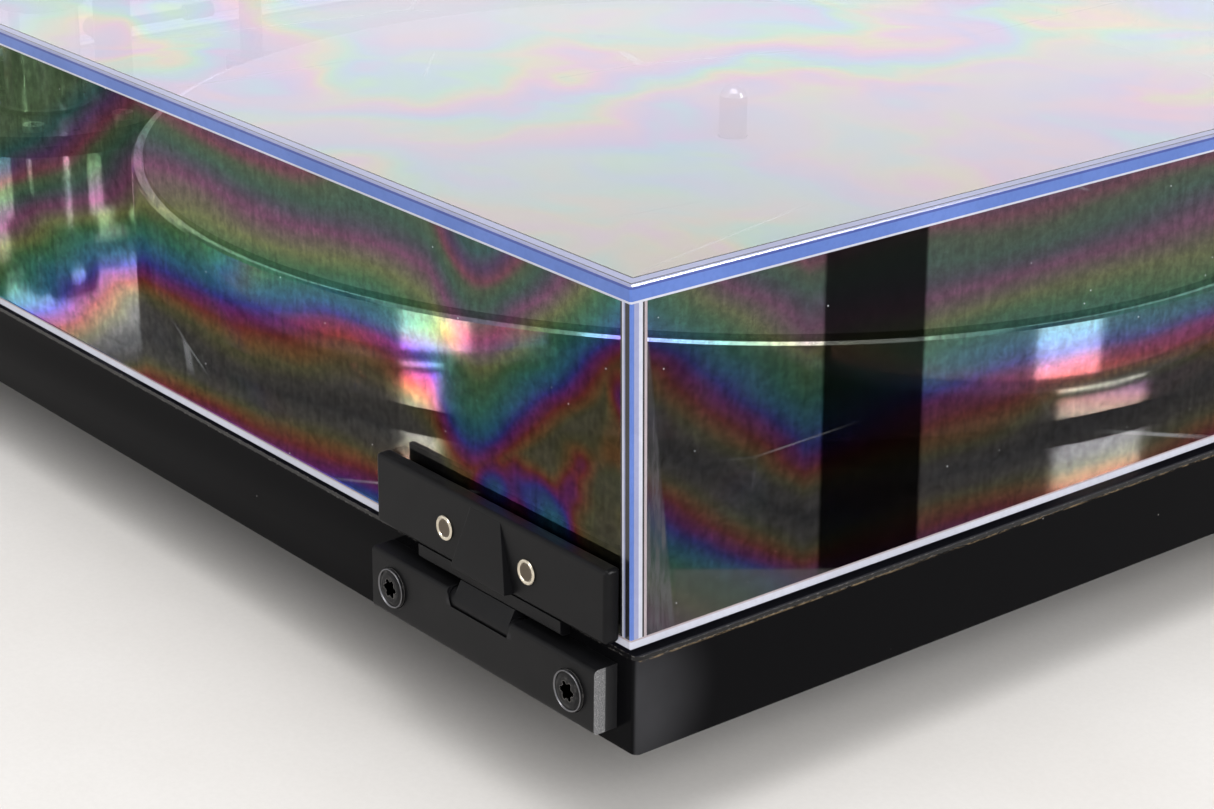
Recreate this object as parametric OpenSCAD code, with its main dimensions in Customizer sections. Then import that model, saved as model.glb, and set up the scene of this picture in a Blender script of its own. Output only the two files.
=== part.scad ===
/* [Plinth] */
// Width of the plinth, left to right
plinth_w = 447; // [420:1:540]
// Depth of the plinth, front to rear
plinth_d = 360; // [345:1:440]
// Thickness of the plinth with its top laminate
plinth_t = 19.5; // [16:0.5:26]
// Thickness of the gloss laminate on top
laminate_t = 0.8; // [0.5:0.1:1.2]
// Radius of the plinth's vertical corners
plinth_corner_r = 1.4; // [0.5:0.1:6]
// Height of the feet under the plinth
foot_h = 20; // [18:1:30]
// Radius of a foot
foot_r = 18; // [12:1:24]
// Distance of a foot's centre from both plinth edges
foot_inset = 55; // [50:1:70]

/* [Platter] */
// Spindle's distance from the plinth's left edge
spindle_from_left = 172.3; // [165:0.1:190]
// Spindle's distance from the plinth's rear edge
spindle_from_rear = 174.3; // [165:0.1:185]
// Radius of the platter
platter_r = 150; // [146:0.5:155]
// Height of the platter's side
platter_h = 22.5; // [20:0.5:26]
// Gap between the deck and the platter
platter_gap = 2.5; // [2:0.1:4]
// Radius of the hollow under the platter
platter_hollow_r = 108; // [104:1:125]
// Thickness of the platter over its hollow
platter_web = 10; // [7:0.5:12]
// Radius of the mat
mat_r = 147; // [140:0.5:149]
// Thickness of the mat
mat_t = 2; // [1.5:0.1:3]
// How deep the mat sits in the platter
mat_sink = 1.2; // [0.5:0.1:1.4]
// Radius of the record pin
record_pin_r = 3.55; // [3.4:0.01:3.6]
// Height of the record pin over the mat
record_pin_h = 13; // [10:0.5:15]

/* [Drive] */
// Radius of the spindle in its bearing
spindle_r = 5; // [4:0.1:7]
// Radius of the bearing housing
bearing_r = 12; // [11:0.5:15]
// Radius of the sub-platter where the belt runs
sub_platter_r = 62; // [50:1:66]
// Radius of the motor pulley where the belt runs
pulley_r = 6.5; // [5:0.1:9]
// Distance from spindle to motor shaft
motor_distance = 88; // [84:1:92]
// Direction of the motor from the spindle, degrees from the right
motor_direction = 135; // [120:1:150]
// Radius of the motor
motor_r = 21; // [16:0.5:25]
// Width of the belt
belt_w = 5; // [3:0.5:6]
// Thickness of the belt
belt_t = 0.7; // [0.5:0.1:1]

/* [Dust cover] */
// Height of the cover's top over the deck
cover_h = 68.5; // [67:0.5:90]
// Wall of the cover
cover_wall = 3; // [2.5:0.1:4]
// Gap between the cover's lower edge and the deck
cover_gap = 0.8; // [0.5:0.1:2]
// Inset of the cover's sides and front at the bottom
cover_inset = 1.7; // [1:0.1:4]
// Extra inset of the cover's sides and front at the top
cover_draft = 1.3; // [0:0.1:3]

/* [Hinges] */
// Hinge centre's distance from the plinth's side
hinge_from_side = 39.5; // [38:0.5:60]
// Width of the hinge base
hinge_base_w = 68.5; // [60:0.5:74]
// Depth of the hinge base behind the plinth
hinge_base_d = 5.3; // [5:0.1:7]
// Height of the hinge base
hinge_base_h = 12.8; // [11.5:0.1:14]
// Drop of the hinge base's top under the deck
hinge_base_drop = 3; // [2.5:0.1:4]
// Width of the notch in the hinge base
hinge_notch_w = 20; // [16:0.5:24]
// Radius of the hinge pin
hinge_pin_r = 1.2; // [1:0.05:1.3]
// Radius of the leaf's knuckle
knuckle_r = 2.35; // [2.1:0.05:2.4]
// Spacing of the hinge base's screws
hinge_screw_spacing = 54.8; // [48:0.2:57]
// Width of the bracket on the cover
bracket_w = 70; // [60:0.5:75]
// Thickness of the bracket
bracket_t = 3.5; // [3.3:0.1:5]
// Height of the bracket
bracket_h = 14.5; // [13:0.5:18]
// Height of the bracket's lower edge over the deck
bracket_lift = 1.5; // [1.2:0.1:2.5]
// Spacing of the rivets
rivet_spacing = 25; // [24:0.5:32]

/* [Tonearm] */
// Distance from the spindle to the arm's pivot
pivot_distance = 222; // [214:0.5:228]
// Direction of the pivot from the spindle, degrees from the right
pivot_direction = 22; // [18:0.5:26]
// Height of the arm tube's centre over the deck
arm_z = 46; // [45:0.5:48]
// Radius of the arm tube
arm_tube_r = 4.5; // [3.5:0.1:5.5]
// Length from the pivot to the headshell's bend
arm_reach = 205.5; // [190:0.5:210]
// Angle of the headshell to the tube
headshell_angle = 27.6; // [22:0.1:30]
// Distance from the bend to the stylus
stylus_reach = 35; // [30:0.5:40]
// Height of the stylus over the mat when the arm rests
stylus_clear = 2.5; // [1.5:0.1:3]
// Radius of the arm's base plate
arm_base_r = 36; // [33:0.5:39]
// Radius of the counterweight
counterweight_r = 16; // [14:0.5:17]
// Thickness of the counterweight
counterweight_t = 20; // [16:0.5:21]
// Radius of the lift platform's arc about the pivot
cue_radius = 28; // [26:0.5:29]
// Distance from the pivot to the arm rest
rest_distance = 78; // [60:1:100]

/* [Hidden] */
$fn = 96;
fit = 0.05;      // radial clearance of a running or sliding fit
apart = 0.3;     // clearance between pieces that move past each other
touch = 0.02;    // clearance between pieces that are fixed together

// Levels
base_z = foot_h;
deck_z = base_z + plinth_t;
platter_z = deck_z + platter_gap;
rim_z = platter_z + platter_h;
mat_z = rim_z - mat_sink + mat_t;
hollow_z = rim_z - mat_sink - platter_web;
cover_low_z = deck_z + cover_gap;
cover_top_z = deck_z + cover_h;

// The origin is the middle of the whole footprint, hinge screws included, on the ground
hinge_screw_proud = 0.8;
rear_reach = hinge_base_d + hinge_screw_proud;
left_x = -plinth_w / 2;
right_x = plinth_w / 2;
rear_y = (plinth_d - rear_reach) / 2;
front_y = rear_y - plinth_d;

// Feet
FEET = [for (sx = [-1, 1], sy = [0, 1])
  [sx * (plinth_w / 2 - foot_inset), sy == 0 ? front_y + foot_inset : rear_y - foot_inset]];
foot_screw_r = 2;
foot_screw_head_r = 4.5;
foot_recess_h = 8;

// Spindle, bearing and sub-platter
spindle_pos = [left_x + spindle_from_left, rear_y - spindle_from_rear];
bearing_flange_r = bearing_r + 9;
bearing_flange_t = 1.6;
bearing_floor_z = base_z - 9;
bearing_bottom_z = bearing_floor_z - 3;
bush_wall = 2.5;
thrust_ball_r = 2.5;
spindle_low_z = bearing_floor_z + 2 * thrust_ball_r;
sub_platter_z = deck_z + bearing_flange_t + 0.5;
sub_web_t = 3;
sub_hub_r = 14;
belt_z = deck_z + 4.5;
belt_slack = apart;

// Motor
motor_pos = spindle_pos + motor_distance * [cos(motor_direction), sin(motor_direction)];
motor_hole_r = motor_r + 2;
motor_low_z = 4;
motor_top_z = deck_z - 5;
motor_plate_t = 2;
motor_plate_r = motor_hole_r + 12;
motor_shaft_r = 1.2;
motor_screw_r = 1.6;
motor_screw_circle = motor_hole_r + 6;

// Control board and its cover under the front left of the plinth
board_size = [70, 46, 1.6];
board_cavity = [84, 60, 8];
board_pos = [left_x + foot_inset + foot_r + 14 + board_cavity[0] / 2, front_y + 12 + board_cavity[1] / 2];
cover_plate = [board_cavity[0] + 16, board_cavity[1] + 16, 1.5];
cover_screw_inset = 4;
cover_screw_r = 1.4;
board_post_h = 3;

// Speed knob
knob_pos = [left_x + 36, front_y + 36];
knob_r = 12.5;
knob_h = 13;
knob_shaft_r = 3;

// Tonearm
pivot = spindle_pos + pivot_distance * [cos(pivot_direction), sin(pivot_direction)];
arm_tube_z = deck_z + arm_z;
arm_tube_wall = 0.9;
arm_base_t = 3;
arm_base_z = deck_z + arm_base_t;
arm_hole_r = 14;
pillar_r = 11;
pillar_top_z = deck_z + 33;
arm_shaft_r = 4;
arm_shaft_low_z = arm_base_z + 8;
yoke_gap = 17;
yoke_cheek_t = 4;
yoke_cheek_d = 13;
yoke_floor_t = 3;
yoke_top_z = arm_tube_z + 7.5;
pivot_pin_r = 1.5;
block_w = yoke_gap - 2 * apart;
block_d = 20;
block_h = 13;
arm_screw_r = 1.7;
arm_screw_circle = arm_base_r - 7;
arm_screw_angles = [35, 145, 200];
arm_plug_len = 12;

// Headshell, cartridge and stylus
headshell_t = 2.5;
headshell_w = 17;
headshell_len = 50;
headshell_z = arm_tube_z - 1.2;
stylus_z = mat_z + stylus_clear;
cartridge_h = headshell_z - stylus_z;
cartridge_w = 15.5;
cartridge_len = 27;
cartridge_front = stylus_reach + 9;
cartridge_screw_r = 1.15;
cartridge_screw_spacing = 12.7;
cartridge_screw_at = stylus_reach - 9.5;
cartridge_body_h = cartridge_h * 0.62;

// Counterweight
stub_r = 4;
stub_len = 58;
counterweight_from = 27;
counterweight_drop = 0.6;
force_ring_r = 12;
force_ring_t = 5;
force_ring_from = counterweight_from - force_ring_t - apart;
ring_boss_r = stub_r + 2.5;

// Anti-skate dial on the arm's base plate
dial_r = 6.5;
dial_h = 7;
dial_pos = pivot + 25 * [cos(-12), sin(-12)];
dial_shaft_r = 2;

// Lift
cue_start_angle = -14;
cue_end_angle = 56;
cue_overhang_angle = 8;
cue_bar_w = 4;
cue_bar_t = 2.4;
cue_top_z = arm_tube_z - arm_tube_r - 0.5;
cue_rod_r = 2.2;
cue_tower_r = 5.5;
cue_tower_top_z = cue_top_z - cue_bar_t - 4;
cue_rod_low_z = arm_base_z + 6;
cue_pos = pivot + cue_radius * [sin(-cue_start_angle), -cos(cue_start_angle)];
lever_z = arm_base_z + 15;
lever_shaft_r = 1.8;
lever_len = 34;
lever_bar_r = 1.5;
lever_hub_w = 4.4;
lever_from_tower = 8;

// Arm rest
rest_pos = [pivot[0] + arm_tube_r + 7, pivot[1] - rest_distance];
rest_post_r = 3.5;
rest_foot_r = 8;
rest_foot_t = 2.5;
rest_shelf_t = 2.6;
rest_top_z = arm_tube_z + arm_tube_r + 5;
clip_t = 2.2;
clip_len = 2 * arm_tube_r + 9;
clip_hub_r = 4;
clip_pin_r = 1.5;

// Rear terminals, in a box under the plinth
terminal_size = [78, 30, 15];
terminal_pos = [right_x - 120, rear_y - 14 - terminal_size[1] / 2];
terminal_z = base_z - terminal_size[2] / 2;
terminal_rear_y = terminal_pos[1] + terminal_size[1] / 2;
terminal_wall = 2;
phono_x = [for (side = [-1, 1]) terminal_pos[0] + 8 + side * 7];
phono_r = 4.15;
phono_len = 8;
phono_flange_r = 5.6;
inlet_x = terminal_pos[0] - 24;
inlet_r = 3.2;
ground_x = terminal_pos[0] + 31;
ground_stud_r = 1.7;

// Cover
cover_left_low = left_x + cover_inset;
cover_right_low = right_x - cover_inset;
cover_front_low = front_y + cover_inset;
cover_pad_len = 14;

// Hinges
HINGE_X = [left_x + hinge_from_side, right_x - hinge_from_side];
hinge_top_z = deck_z - hinge_base_drop;
hinge_low_z = hinge_top_z - hinge_base_h;
hinge_axis_y = rear_y + hinge_base_d - knuckle_r - apart;
hinge_axis_z = hinge_top_z - knuckle_r - 0.25;
spring_r = 1.9;
spring_len = 4;
pin_grip = 5;
leaf_t = 1.5;
leaf_bar_w = 43.5;
leaf_bar_t = 2.2;
notch_slant = 1.4;
leaf_y = rear_y + 0.9;
leaf_tongue_w = 16;
leaf_tongue_top_z = deck_z + bracket_lift + bracket_h - 3;
hinge_screw_z = (hinge_top_z + hinge_low_z) / 2;
hinge_screw_head_r = 4;
hinge_screw_head_h = 2.4;
hinge_screw_r = 1.7;
hinge_screw_len = 14;
edge_r = 0.9;
bracket_low_z = deck_z + bracket_lift;
rivet_z = bracket_low_z + 6.4;
rivet_r = 1.85;
rivet_bore_r = 1.45;
rivet_head_r = 2.5;
rivet_head_t = 0.45;
backing_t = 1.2;

// Points of a rectangle with rounded corners, centred
function round_rect(w, d, r, n = 6) = [
  for (c = [[1, 1, 0], [-1, 1, 90], [-1, -1, 180], [1, -1, 270]], i = [0:n])
    let (a = c[2] + 90 * i / n) [c[0] * (w / 2 - r) + r * cos(a), c[1] * (d / 2 - r) + r * sin(a)]
];

// Points of a rectangle from the origin with its two outer (+x) corners rounded
function soft_edge(x, y, r, n = 6) = concat(
  [[0, 0]],
  [for (i = [0:n]) let (a = -90 + 90 * i / n) [x - r + r * cos(a), r + r * sin(a)]],
  [for (i = [0:n]) let (a = 90 * i / n) [x - r + r * cos(a), y - r + r * sin(a)]],
  [[0, y]]
);

// A box whose top is smaller than its bottom: low and high are [x0, x1, y0, y1, z]
module tapered_box(low, high) {
  polyhedron(
    points = [for (b = [low, high], p = [[0, 2], [1, 2], [1, 3], [0, 3]]) [b[p[0]], b[p[1]], b[4]]],
    faces = [[0, 1, 2, 3], [7, 6, 5, 4], [4, 5, 1, 0], [5, 6, 2, 1], [6, 7, 3, 2], [7, 4, 0, 3]]
  );
}

// A cylinder along +Y from a point
module rod_y(p, r, len) {
  translate(p) rotate([-90, 0, 0]) cylinder(r = r, h = len);
}

// A cylinder along +X from a point
module rod_x(p, r, len) {
  translate(p) rotate([0, 90, 0]) cylinder(r = r, h = len);
}

// A pan-head screw standing on a face at the origin, head up and shank down
module pan_screw(shank_r, shank_len, head_r, head_h) {
  difference() {
    union() {
      cylinder(r = head_r, h = head_h);
      translate([0, 0, -shank_len]) cylinder(r = shank_r, h = shank_len + head_h / 2);
    }
    for (a = [0, 90]) rotate([0, 0, a]) translate([-head_r * 0.6, -head_r * 0.11, head_h * 0.5])
      cube([head_r * 1.2, head_r * 0.22, head_h]);
  }
}

// The upper shell of the board: the whole outline between two levels
module plinth_slab(z, t) {
  translate([0, (front_y + rear_y) / 2, z])
    linear_extrude(t) polygon(round_rect(plinth_w, plinth_d, plinth_corner_r));
}

// Holes that go through the board and its laminate
module plinth_holes() {
  translate([spindle_pos[0], spindle_pos[1], base_z - 1])
    cylinder(r = bearing_r + touch, h = plinth_t + 2);
  translate([motor_pos[0], motor_pos[1], base_z - 1]) cylinder(r = motor_hole_r, h = plinth_t + 2);
  translate([pivot[0], pivot[1], base_z - 1]) cylinder(r = arm_hole_r, h = plinth_t + 2);
  translate([knob_pos[0], knob_pos[1], base_z - 1]) cylinder(r = knob_shaft_r + fit, h = plinth_t + 2);
}

module plinth_board() {
  color("#141414") difference() {
    plinth_slab(base_z, plinth_t - laminate_t);
    plinth_holes();
    for (p = FEET) translate([p[0], p[1], base_z - 1])
      cylinder(r = foot_screw_r + touch, h = foot_screw_len() - (foot_h - foot_recess_h) + 2);
    for (p = motor_screw_points()) translate([p[0], p[1], base_z - 1])
      cylinder(r = motor_screw_r + touch, h = 10);
    for (p = cover_screw_points()) translate([p[0], p[1], base_z - 1])
      cylinder(r = cover_screw_r + touch, h = 10);
    translate([board_pos[0] - board_cavity[0] / 2, board_pos[1] - board_cavity[1] / 2, base_z - 1])
      cube([board_cavity[0], board_cavity[1], board_cavity[2] + 1]);
    for (p = arm_screw_points()) translate([p[0], p[1], deck_z - 9])
      cylinder(r = arm_screw_r + touch, h = 10);
    for (x = hinge_screw_xs()) rod_y([x, rear_y - hinge_screw_len, hinge_screw_z],
      hinge_screw_r + touch, hinge_screw_len + 1);
  }
}

module top_laminate() {
  color("#0b0b0c") difference() {
    plinth_slab(deck_z - laminate_t, laminate_t);
    plinth_holes();
    for (p = arm_screw_points()) translate([p[0], p[1], deck_z - 9])
      cylinder(r = arm_screw_r + touch, h = 10);
  }
}

function foot_screw_len() = foot_h - foot_recess_h + 12;
function motor_screw_points() = [for (a = [0, 120, 240])
  motor_pos + motor_screw_circle * [cos(a), sin(a)]];
function cover_screw_points() = [for (sx = [-1, 1], sy = [-1, 1])
  board_pos + [sx * (cover_plate[0] / 2 - cover_screw_inset), sy * (cover_plate[1] / 2 - cover_screw_inset)]];
function arm_screw_points() = [for (a = arm_screw_angles) pivot + arm_screw_circle * [cos(a), sin(a)]];
function hinge_screw_xs() = [for (x = HINGE_X, s = [-1, 1]) x + s * hinge_screw_spacing / 2];

// Four turned feet, each with a recess for its screw's head
module feet() {
  color("#1b1b1b") for (p = FEET) translate([p[0], p[1], 0]) rotate_extrude() polygon([
    [foot_screw_r + 0.1, foot_recess_h], [foot_screw_head_r + 1, foot_recess_h],
    [foot_screw_head_r + 1, 0], [foot_r - 2, 0], [foot_r - 1, 1.2], [foot_r - 1, foot_h * 0.55],
    [foot_r, foot_h * 0.62], [foot_r, foot_h - 1], [foot_r - 1, foot_h], [foot_screw_r + 0.1, foot_h]
  ]);
}

module foot_screws() {
  color("silver") for (p = FEET) translate([p[0], p[1], foot_recess_h]) rotate([180, 0, 0])
    pan_screw(foot_screw_r, foot_screw_len(), foot_screw_head_r, 3);
}

module bottom_cover() {
  color("#202020") translate([board_pos[0], board_pos[1], base_z - cover_plate[2]]) difference() {
    linear_extrude(cover_plate[2]) polygon(round_rect(cover_plate[0], cover_plate[1], 3));
    for (p = cover_screw_points()) translate([p[0] - board_pos[0], p[1] - board_pos[1], -1])
      cylinder(r = cover_screw_r + touch, h = cover_plate[2] + 2);
  }
}

module cover_screws() {
  color("silver") for (p = cover_screw_points()) translate([p[0], p[1], base_z - cover_plate[2]])
    rotate([180, 0, 0]) pan_screw(cover_screw_r, 8, 2.6, 1.6);
}

// Circuit board on posts that stand on the cover plate, with its regulator, capacitor and connector
module control_board() {
  color("darkgreen") translate([board_pos[0], board_pos[1], base_z]) {
    translate([-board_size[0] / 2, -board_size[1] / 2, board_post_h]) cube(board_size);
    for (sx = [-1, 1], sy = [-1, 1])
      translate([sx * (board_size[0] / 2 - 4), sy * (board_size[1] / 2 - 4), 0])
        cylinder(r = 2, h = board_post_h + 0.5);
    translate([-24, -12, board_post_h + board_size[2] / 2]) cube([12, 9, 3]);
    translate([10, 6, board_post_h + board_size[2] / 2]) cylinder(r = 4, h = 3.6);
    translate([18, -16, board_post_h + board_size[2] / 2]) cube([10, 7, 3.4]);
  }
}

// Motor can, hanging through its plate from under the plinth
module motor_body() {
  color("silver") translate([motor_pos[0], motor_pos[1], 0]) difference() {
    union() {
      translate([0, 0, motor_low_z]) cylinder(r = motor_r, h = motor_top_z - motor_low_z);
      translate([0, 0, motor_top_z - 1]) cylinder(r = 4, h = 3.5);
    }
    translate([0, 0, motor_low_z + 6])
      cylinder(r = motor_shaft_r + fit, h = motor_top_z - motor_low_z);
  }
}

module motor_plate() {
  color("gray") translate([motor_pos[0], motor_pos[1], base_z - motor_plate_t]) difference() {
    cylinder(r = motor_plate_r, h = motor_plate_t);
    translate([0, 0, -1]) cylinder(r = motor_r + touch, h = motor_plate_t + 2);
    for (p = motor_screw_points()) translate([p[0] - motor_pos[0], p[1] - motor_pos[1], -1])
      cylinder(r = motor_screw_r + touch, h = motor_plate_t + 2);
  }
}

module motor_screws() {
  color("silver") for (p = motor_screw_points()) translate([p[0], p[1], base_z - motor_plate_t])
    rotate([180, 0, 0]) pan_screw(motor_screw_r, 9, 3.2, 2);
}

// Two-flanged pulley on its steel shaft
module motor_pulley() {
  pulley_low = belt_z - 2.2;
  pulley_top = belt_z + belt_w + 2.2;
  color("khaki") translate([motor_pos[0], motor_pos[1], 0]) rotate_extrude() polygon([
    [0, motor_low_z + 7], [motor_shaft_r, motor_low_z + 7], [motor_shaft_r, pulley_low],
    [pulley_r + 1.5, pulley_low], [pulley_r + 1.5, belt_z - 0.8], [pulley_r, belt_z - 0.4],
    [pulley_r, belt_z + belt_w + 0.4], [pulley_r + 1.5, belt_z + belt_w + 0.8],
    [pulley_r + 1.5, pulley_top], [0, pulley_top]
  ]);
}

// Outline of the loop that the belt's inner face (grow 0) or outer face follows
module belt_outline(grow) {
  hull() {
    circle(r = sub_platter_r + belt_slack + grow, $fn = 120);
    translate(motor_pos - spindle_pos) circle(r = pulley_r + belt_slack + grow, $fn = 40);
  }
}

module drive_belt() {
  color("#101010") translate([spindle_pos[0], spindle_pos[1], belt_z]) linear_extrude(belt_w) difference() {
    belt_outline(belt_t);
    belt_outline(0);
  }
}

// Flanged cup in the plinth that carries the bush and the thrust ball
module bearing_housing() {
  bush_seat_r = spindle_r + bush_wall;
  color("silver") translate([spindle_pos[0], spindle_pos[1], 0]) rotate_extrude() polygon([
    [0, bearing_bottom_z], [bearing_r - 1, bearing_bottom_z], [bearing_r, bearing_bottom_z + 1],
    [bearing_r, deck_z], [bearing_flange_r, deck_z], [bearing_flange_r, deck_z + bearing_flange_t],
    [bush_seat_r, deck_z + bearing_flange_t], [bush_seat_r, bearing_floor_z + 8],
    [spindle_r + 1, bearing_floor_z + 8], [spindle_r + 1, bearing_floor_z], [0, bearing_floor_z]
  ]);
}

module bearing_bush() {
  color("goldenrod") translate([spindle_pos[0], spindle_pos[1], bearing_floor_z + 8]) difference() {
    cylinder(r = spindle_r + bush_wall - touch, h = deck_z - bearing_floor_z - 8);
    translate([0, 0, -1]) cylinder(r = spindle_r + fit, h = deck_z);
  }
}

module thrust_ball() {
  color("silver") translate([spindle_pos[0], spindle_pos[1], bearing_floor_z + thrust_ball_r])
    sphere(r = thrust_ball_r - touch, $fn = 48);
}

// Spindle: bearing journal below, shoulder under the platter, record pin above
// The record pin stands clear of the mat; a neck below it lets a record drop flat
module spindle() {
  pin_top = mat_z + record_pin_h;
  pin_foot = mat_z + 0.1;
  neck_r = record_pin_r - 0.2;
  color("silver") translate([spindle_pos[0], spindle_pos[1], 0]) rotate_extrude() polygon([
    [0, spindle_low_z], [spindle_r - 1, spindle_low_z], [spindle_r, spindle_low_z + 1],
    [spindle_r, hollow_z], [record_pin_r, hollow_z], [record_pin_r, rim_z - mat_sink],
    [neck_r, rim_z - mat_sink], [neck_r, pin_foot], [record_pin_r, pin_foot], [record_pin_r, pin_top - 2.5],
    [record_pin_r - 0.5, pin_top - 1.4], [record_pin_r - 1.7, pin_top - 0.4],
    [record_pin_r - 2.8, pin_top], [0, pin_top]
  ]);
}

// Sub-platter: hub on the spindle, thin web, and the rim that the belt drives
module sub_platter() {
  rim_in = sub_platter_r - 6;
  color("dimgray") translate([spindle_pos[0], spindle_pos[1], 0]) rotate_extrude() polygon([
    [spindle_r + touch, sub_platter_z], [sub_hub_r, sub_platter_z], [sub_hub_r, hollow_z - sub_web_t],
    [rim_in, hollow_z - sub_web_t], [rim_in, belt_z - 1.5], [sub_platter_r, belt_z - 1.5],
    [sub_platter_r, hollow_z], [spindle_r + touch, hollow_z]
  ]);
}

// Platter: hollow below for the drive, sunk above for the mat, edges lightly rounded
module platter() {
  bevel = 0.6;
  color("#1d1d1f") translate([spindle_pos[0], spindle_pos[1], 0]) rotate_extrude($fn = 256) polygon([
    [record_pin_r + 0.1, hollow_z], [platter_hollow_r, hollow_z], [platter_hollow_r, platter_z],
    [platter_r - bevel, platter_z], [platter_r, platter_z + bevel], [platter_r, rim_z - bevel],
    [platter_r - bevel, rim_z], [mat_r + 0.3, rim_z], [mat_r + 0.3, rim_z - mat_sink],
    [record_pin_r + 0.1, rim_z - mat_sink]
  ]);
}

module platter_mat() {
  color("#262628") translate([spindle_pos[0], spindle_pos[1], rim_z - mat_sink]) difference() {
    cylinder(r = mat_r, h = mat_t, $fn = 256);
    translate([0, 0, -1]) cylinder(r = record_pin_r + 0.3, h = mat_t + 2);
  }
}

module arm_base() {
  color("#2a2a2c") translate([pivot[0], pivot[1], deck_z]) difference() {
    union() {
      cylinder(r = arm_base_r, h = arm_base_t);
      translate([0, 0, -plinth_t + 4]) cylinder(r = arm_hole_r - 0.5, h = plinth_t);
    }
    translate([0, 0, -plinth_t]) cylinder(r = pillar_r + touch, h = plinth_t + arm_base_t + 1);
    for (p = arm_screw_points()) translate([p[0] - pivot[0], p[1] - pivot[1], -1])
      cylinder(r = arm_screw_r + touch, h = arm_base_t + 2);
    translate([cue_pos[0] - pivot[0], cue_pos[1] - pivot[1], -1])
      cylinder(r = cue_tower_r - 1.5 + touch, h = arm_base_t + 2);
    translate([dial_pos[0] - pivot[0], dial_pos[1] - pivot[1], 0.8])
      cylinder(r = dial_shaft_r + fit, h = arm_base_t);
  }
}

module arm_base_screws() {
  color("#303030") for (p = arm_screw_points()) translate([p[0], p[1], arm_base_z])
    pan_screw(arm_screw_r, 9, 3, 1.8);
}

// Pillar clamped in the base plate, bored for the arm's vertical shaft
module arm_pillar() {
  color("#3a3a3d") translate([pivot[0], pivot[1], 0]) rotate_extrude() polygon([
    [0, base_z + 5], [pillar_r, base_z + 5], [pillar_r, pillar_top_z - 1], [pillar_r - 1, pillar_top_z],
    [arm_shaft_r + fit, pillar_top_z], [arm_shaft_r + fit, arm_shaft_low_z - 0.5],
    [0, arm_shaft_low_z - 0.5]
  ]);
}

// Fork that turns on the pillar and carries the horizontal pivots
module arm_yoke() {
  floor_z = pillar_top_z + apart;
  color("#2f2f32") translate([pivot[0], pivot[1], 0]) {
    difference() {
      union() {
        translate([0, 0, floor_z]) cylinder(r = yoke_gap / 2 + yoke_cheek_t + 1, h = yoke_floor_t);
        for (s = [-1, 1]) translate([s * (yoke_gap + yoke_cheek_t) / 2, 0, (floor_z + yoke_top_z) / 2])
          cube([yoke_cheek_t, yoke_cheek_d, yoke_top_z - floor_z], center = true);
        translate([0, 0, arm_shaft_low_z]) cylinder(r = arm_shaft_r, h = floor_z - arm_shaft_low_z + 1);
      }
      rod_x([-yoke_gap, 0, arm_tube_z], pivot_pin_r + touch, 2 * yoke_gap);
    }
  }
}

// Two pointed screws that hold the pivot block between the cheeks
module arm_pivot_pins() {
  head = 1.6;
  color("silver") for (s = [-1, 1]) translate([pivot[0], pivot[1], arm_tube_z]) rotate([0, 90 * s, 0])
    rotate_extrude() polygon([
      [0, yoke_gap / 2 - 4], [pivot_pin_r, yoke_gap / 2 - 4],
      [pivot_pin_r, yoke_gap / 2 + yoke_cheek_t], [pivot_pin_r + 1.2, yoke_gap / 2 + yoke_cheek_t],
      [pivot_pin_r + 1.2, yoke_gap / 2 + yoke_cheek_t + head - 0.4],
      [pivot_pin_r + 0.8, yoke_gap / 2 + yoke_cheek_t + head], [0, yoke_gap / 2 + yoke_cheek_t + head]
    ]);
}

module arm_pivot_block() {
  color("#252527") translate([pivot[0], pivot[1], arm_tube_z]) difference() {
    translate([-block_w / 2, -block_d / 2, -block_h / 2]) cube([block_w, block_d, block_h]);
    rod_x([-block_w, 0, 0], pivot_pin_r + fit, 2 * block_w);
    rod_y([0, -block_d / 2 - 1, 0], arm_tube_r + touch, 5);
    rod_y([0, block_d / 2 - 4, -counterweight_drop], stub_r + touch, 5);
  }
}

module arm_tube() {
  from_y = pivot[1] - block_d / 2 + 4;
  color("silver") difference() {
    rod_y([pivot[0], pivot[1] - arm_reach, arm_tube_z], arm_tube_r, from_y - pivot[1] + arm_reach);
    rod_y([pivot[0], pivot[1] - arm_reach - 1, arm_tube_z], arm_tube_r - arm_tube_wall,
      from_y - pivot[1] + arm_reach + 2);
  }
}

// Places children in the headshell's frame: origin at the bend, forward along -Y, up +Z
module at_headshell() {
  translate([pivot[0], pivot[1] - arm_reach, 0]) rotate([0, 0, -headshell_angle]) children();
}

module headshell() {
  color("#202022") difference() {
    union() {
      at_headshell() translate([0, -headshell_len, headshell_z]) linear_extrude(headshell_t) polygon(concat(
        [[-4, headshell_len - 1], [-headshell_w / 2, headshell_len - 14]],
        [for (i = [0:8]) let (a = 180 + 180 * i / 8)
          [headshell_w / 2 * cos(a), 6 + 6 * sin(a)]],
        [[headshell_w / 2, headshell_len - 14], [4, headshell_len - 1]]
      ));
      headshell_collar();
    }
    at_headshell() for (s = [-1, 1])
      translate([s * cartridge_screw_spacing / 2, -cartridge_screw_at, headshell_z - 1])
        cylinder(r = cartridge_screw_r + touch, h = 8);
  }
}

// Round nose that covers the tube's end, with the plug that goes into the tube
module headshell_collar() {
  translate([pivot[0], pivot[1] - arm_reach, arm_tube_z]) {
    difference() {
      sphere(r = arm_tube_r, $fn = 48);
      translate([-arm_tube_r, -touch, -arm_tube_r]) cube(2 * arm_tube_r);
    }
    rod_y([0, -1, 0], arm_tube_r - arm_tube_wall - touch, arm_plug_len + 1);
  }
}

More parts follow.
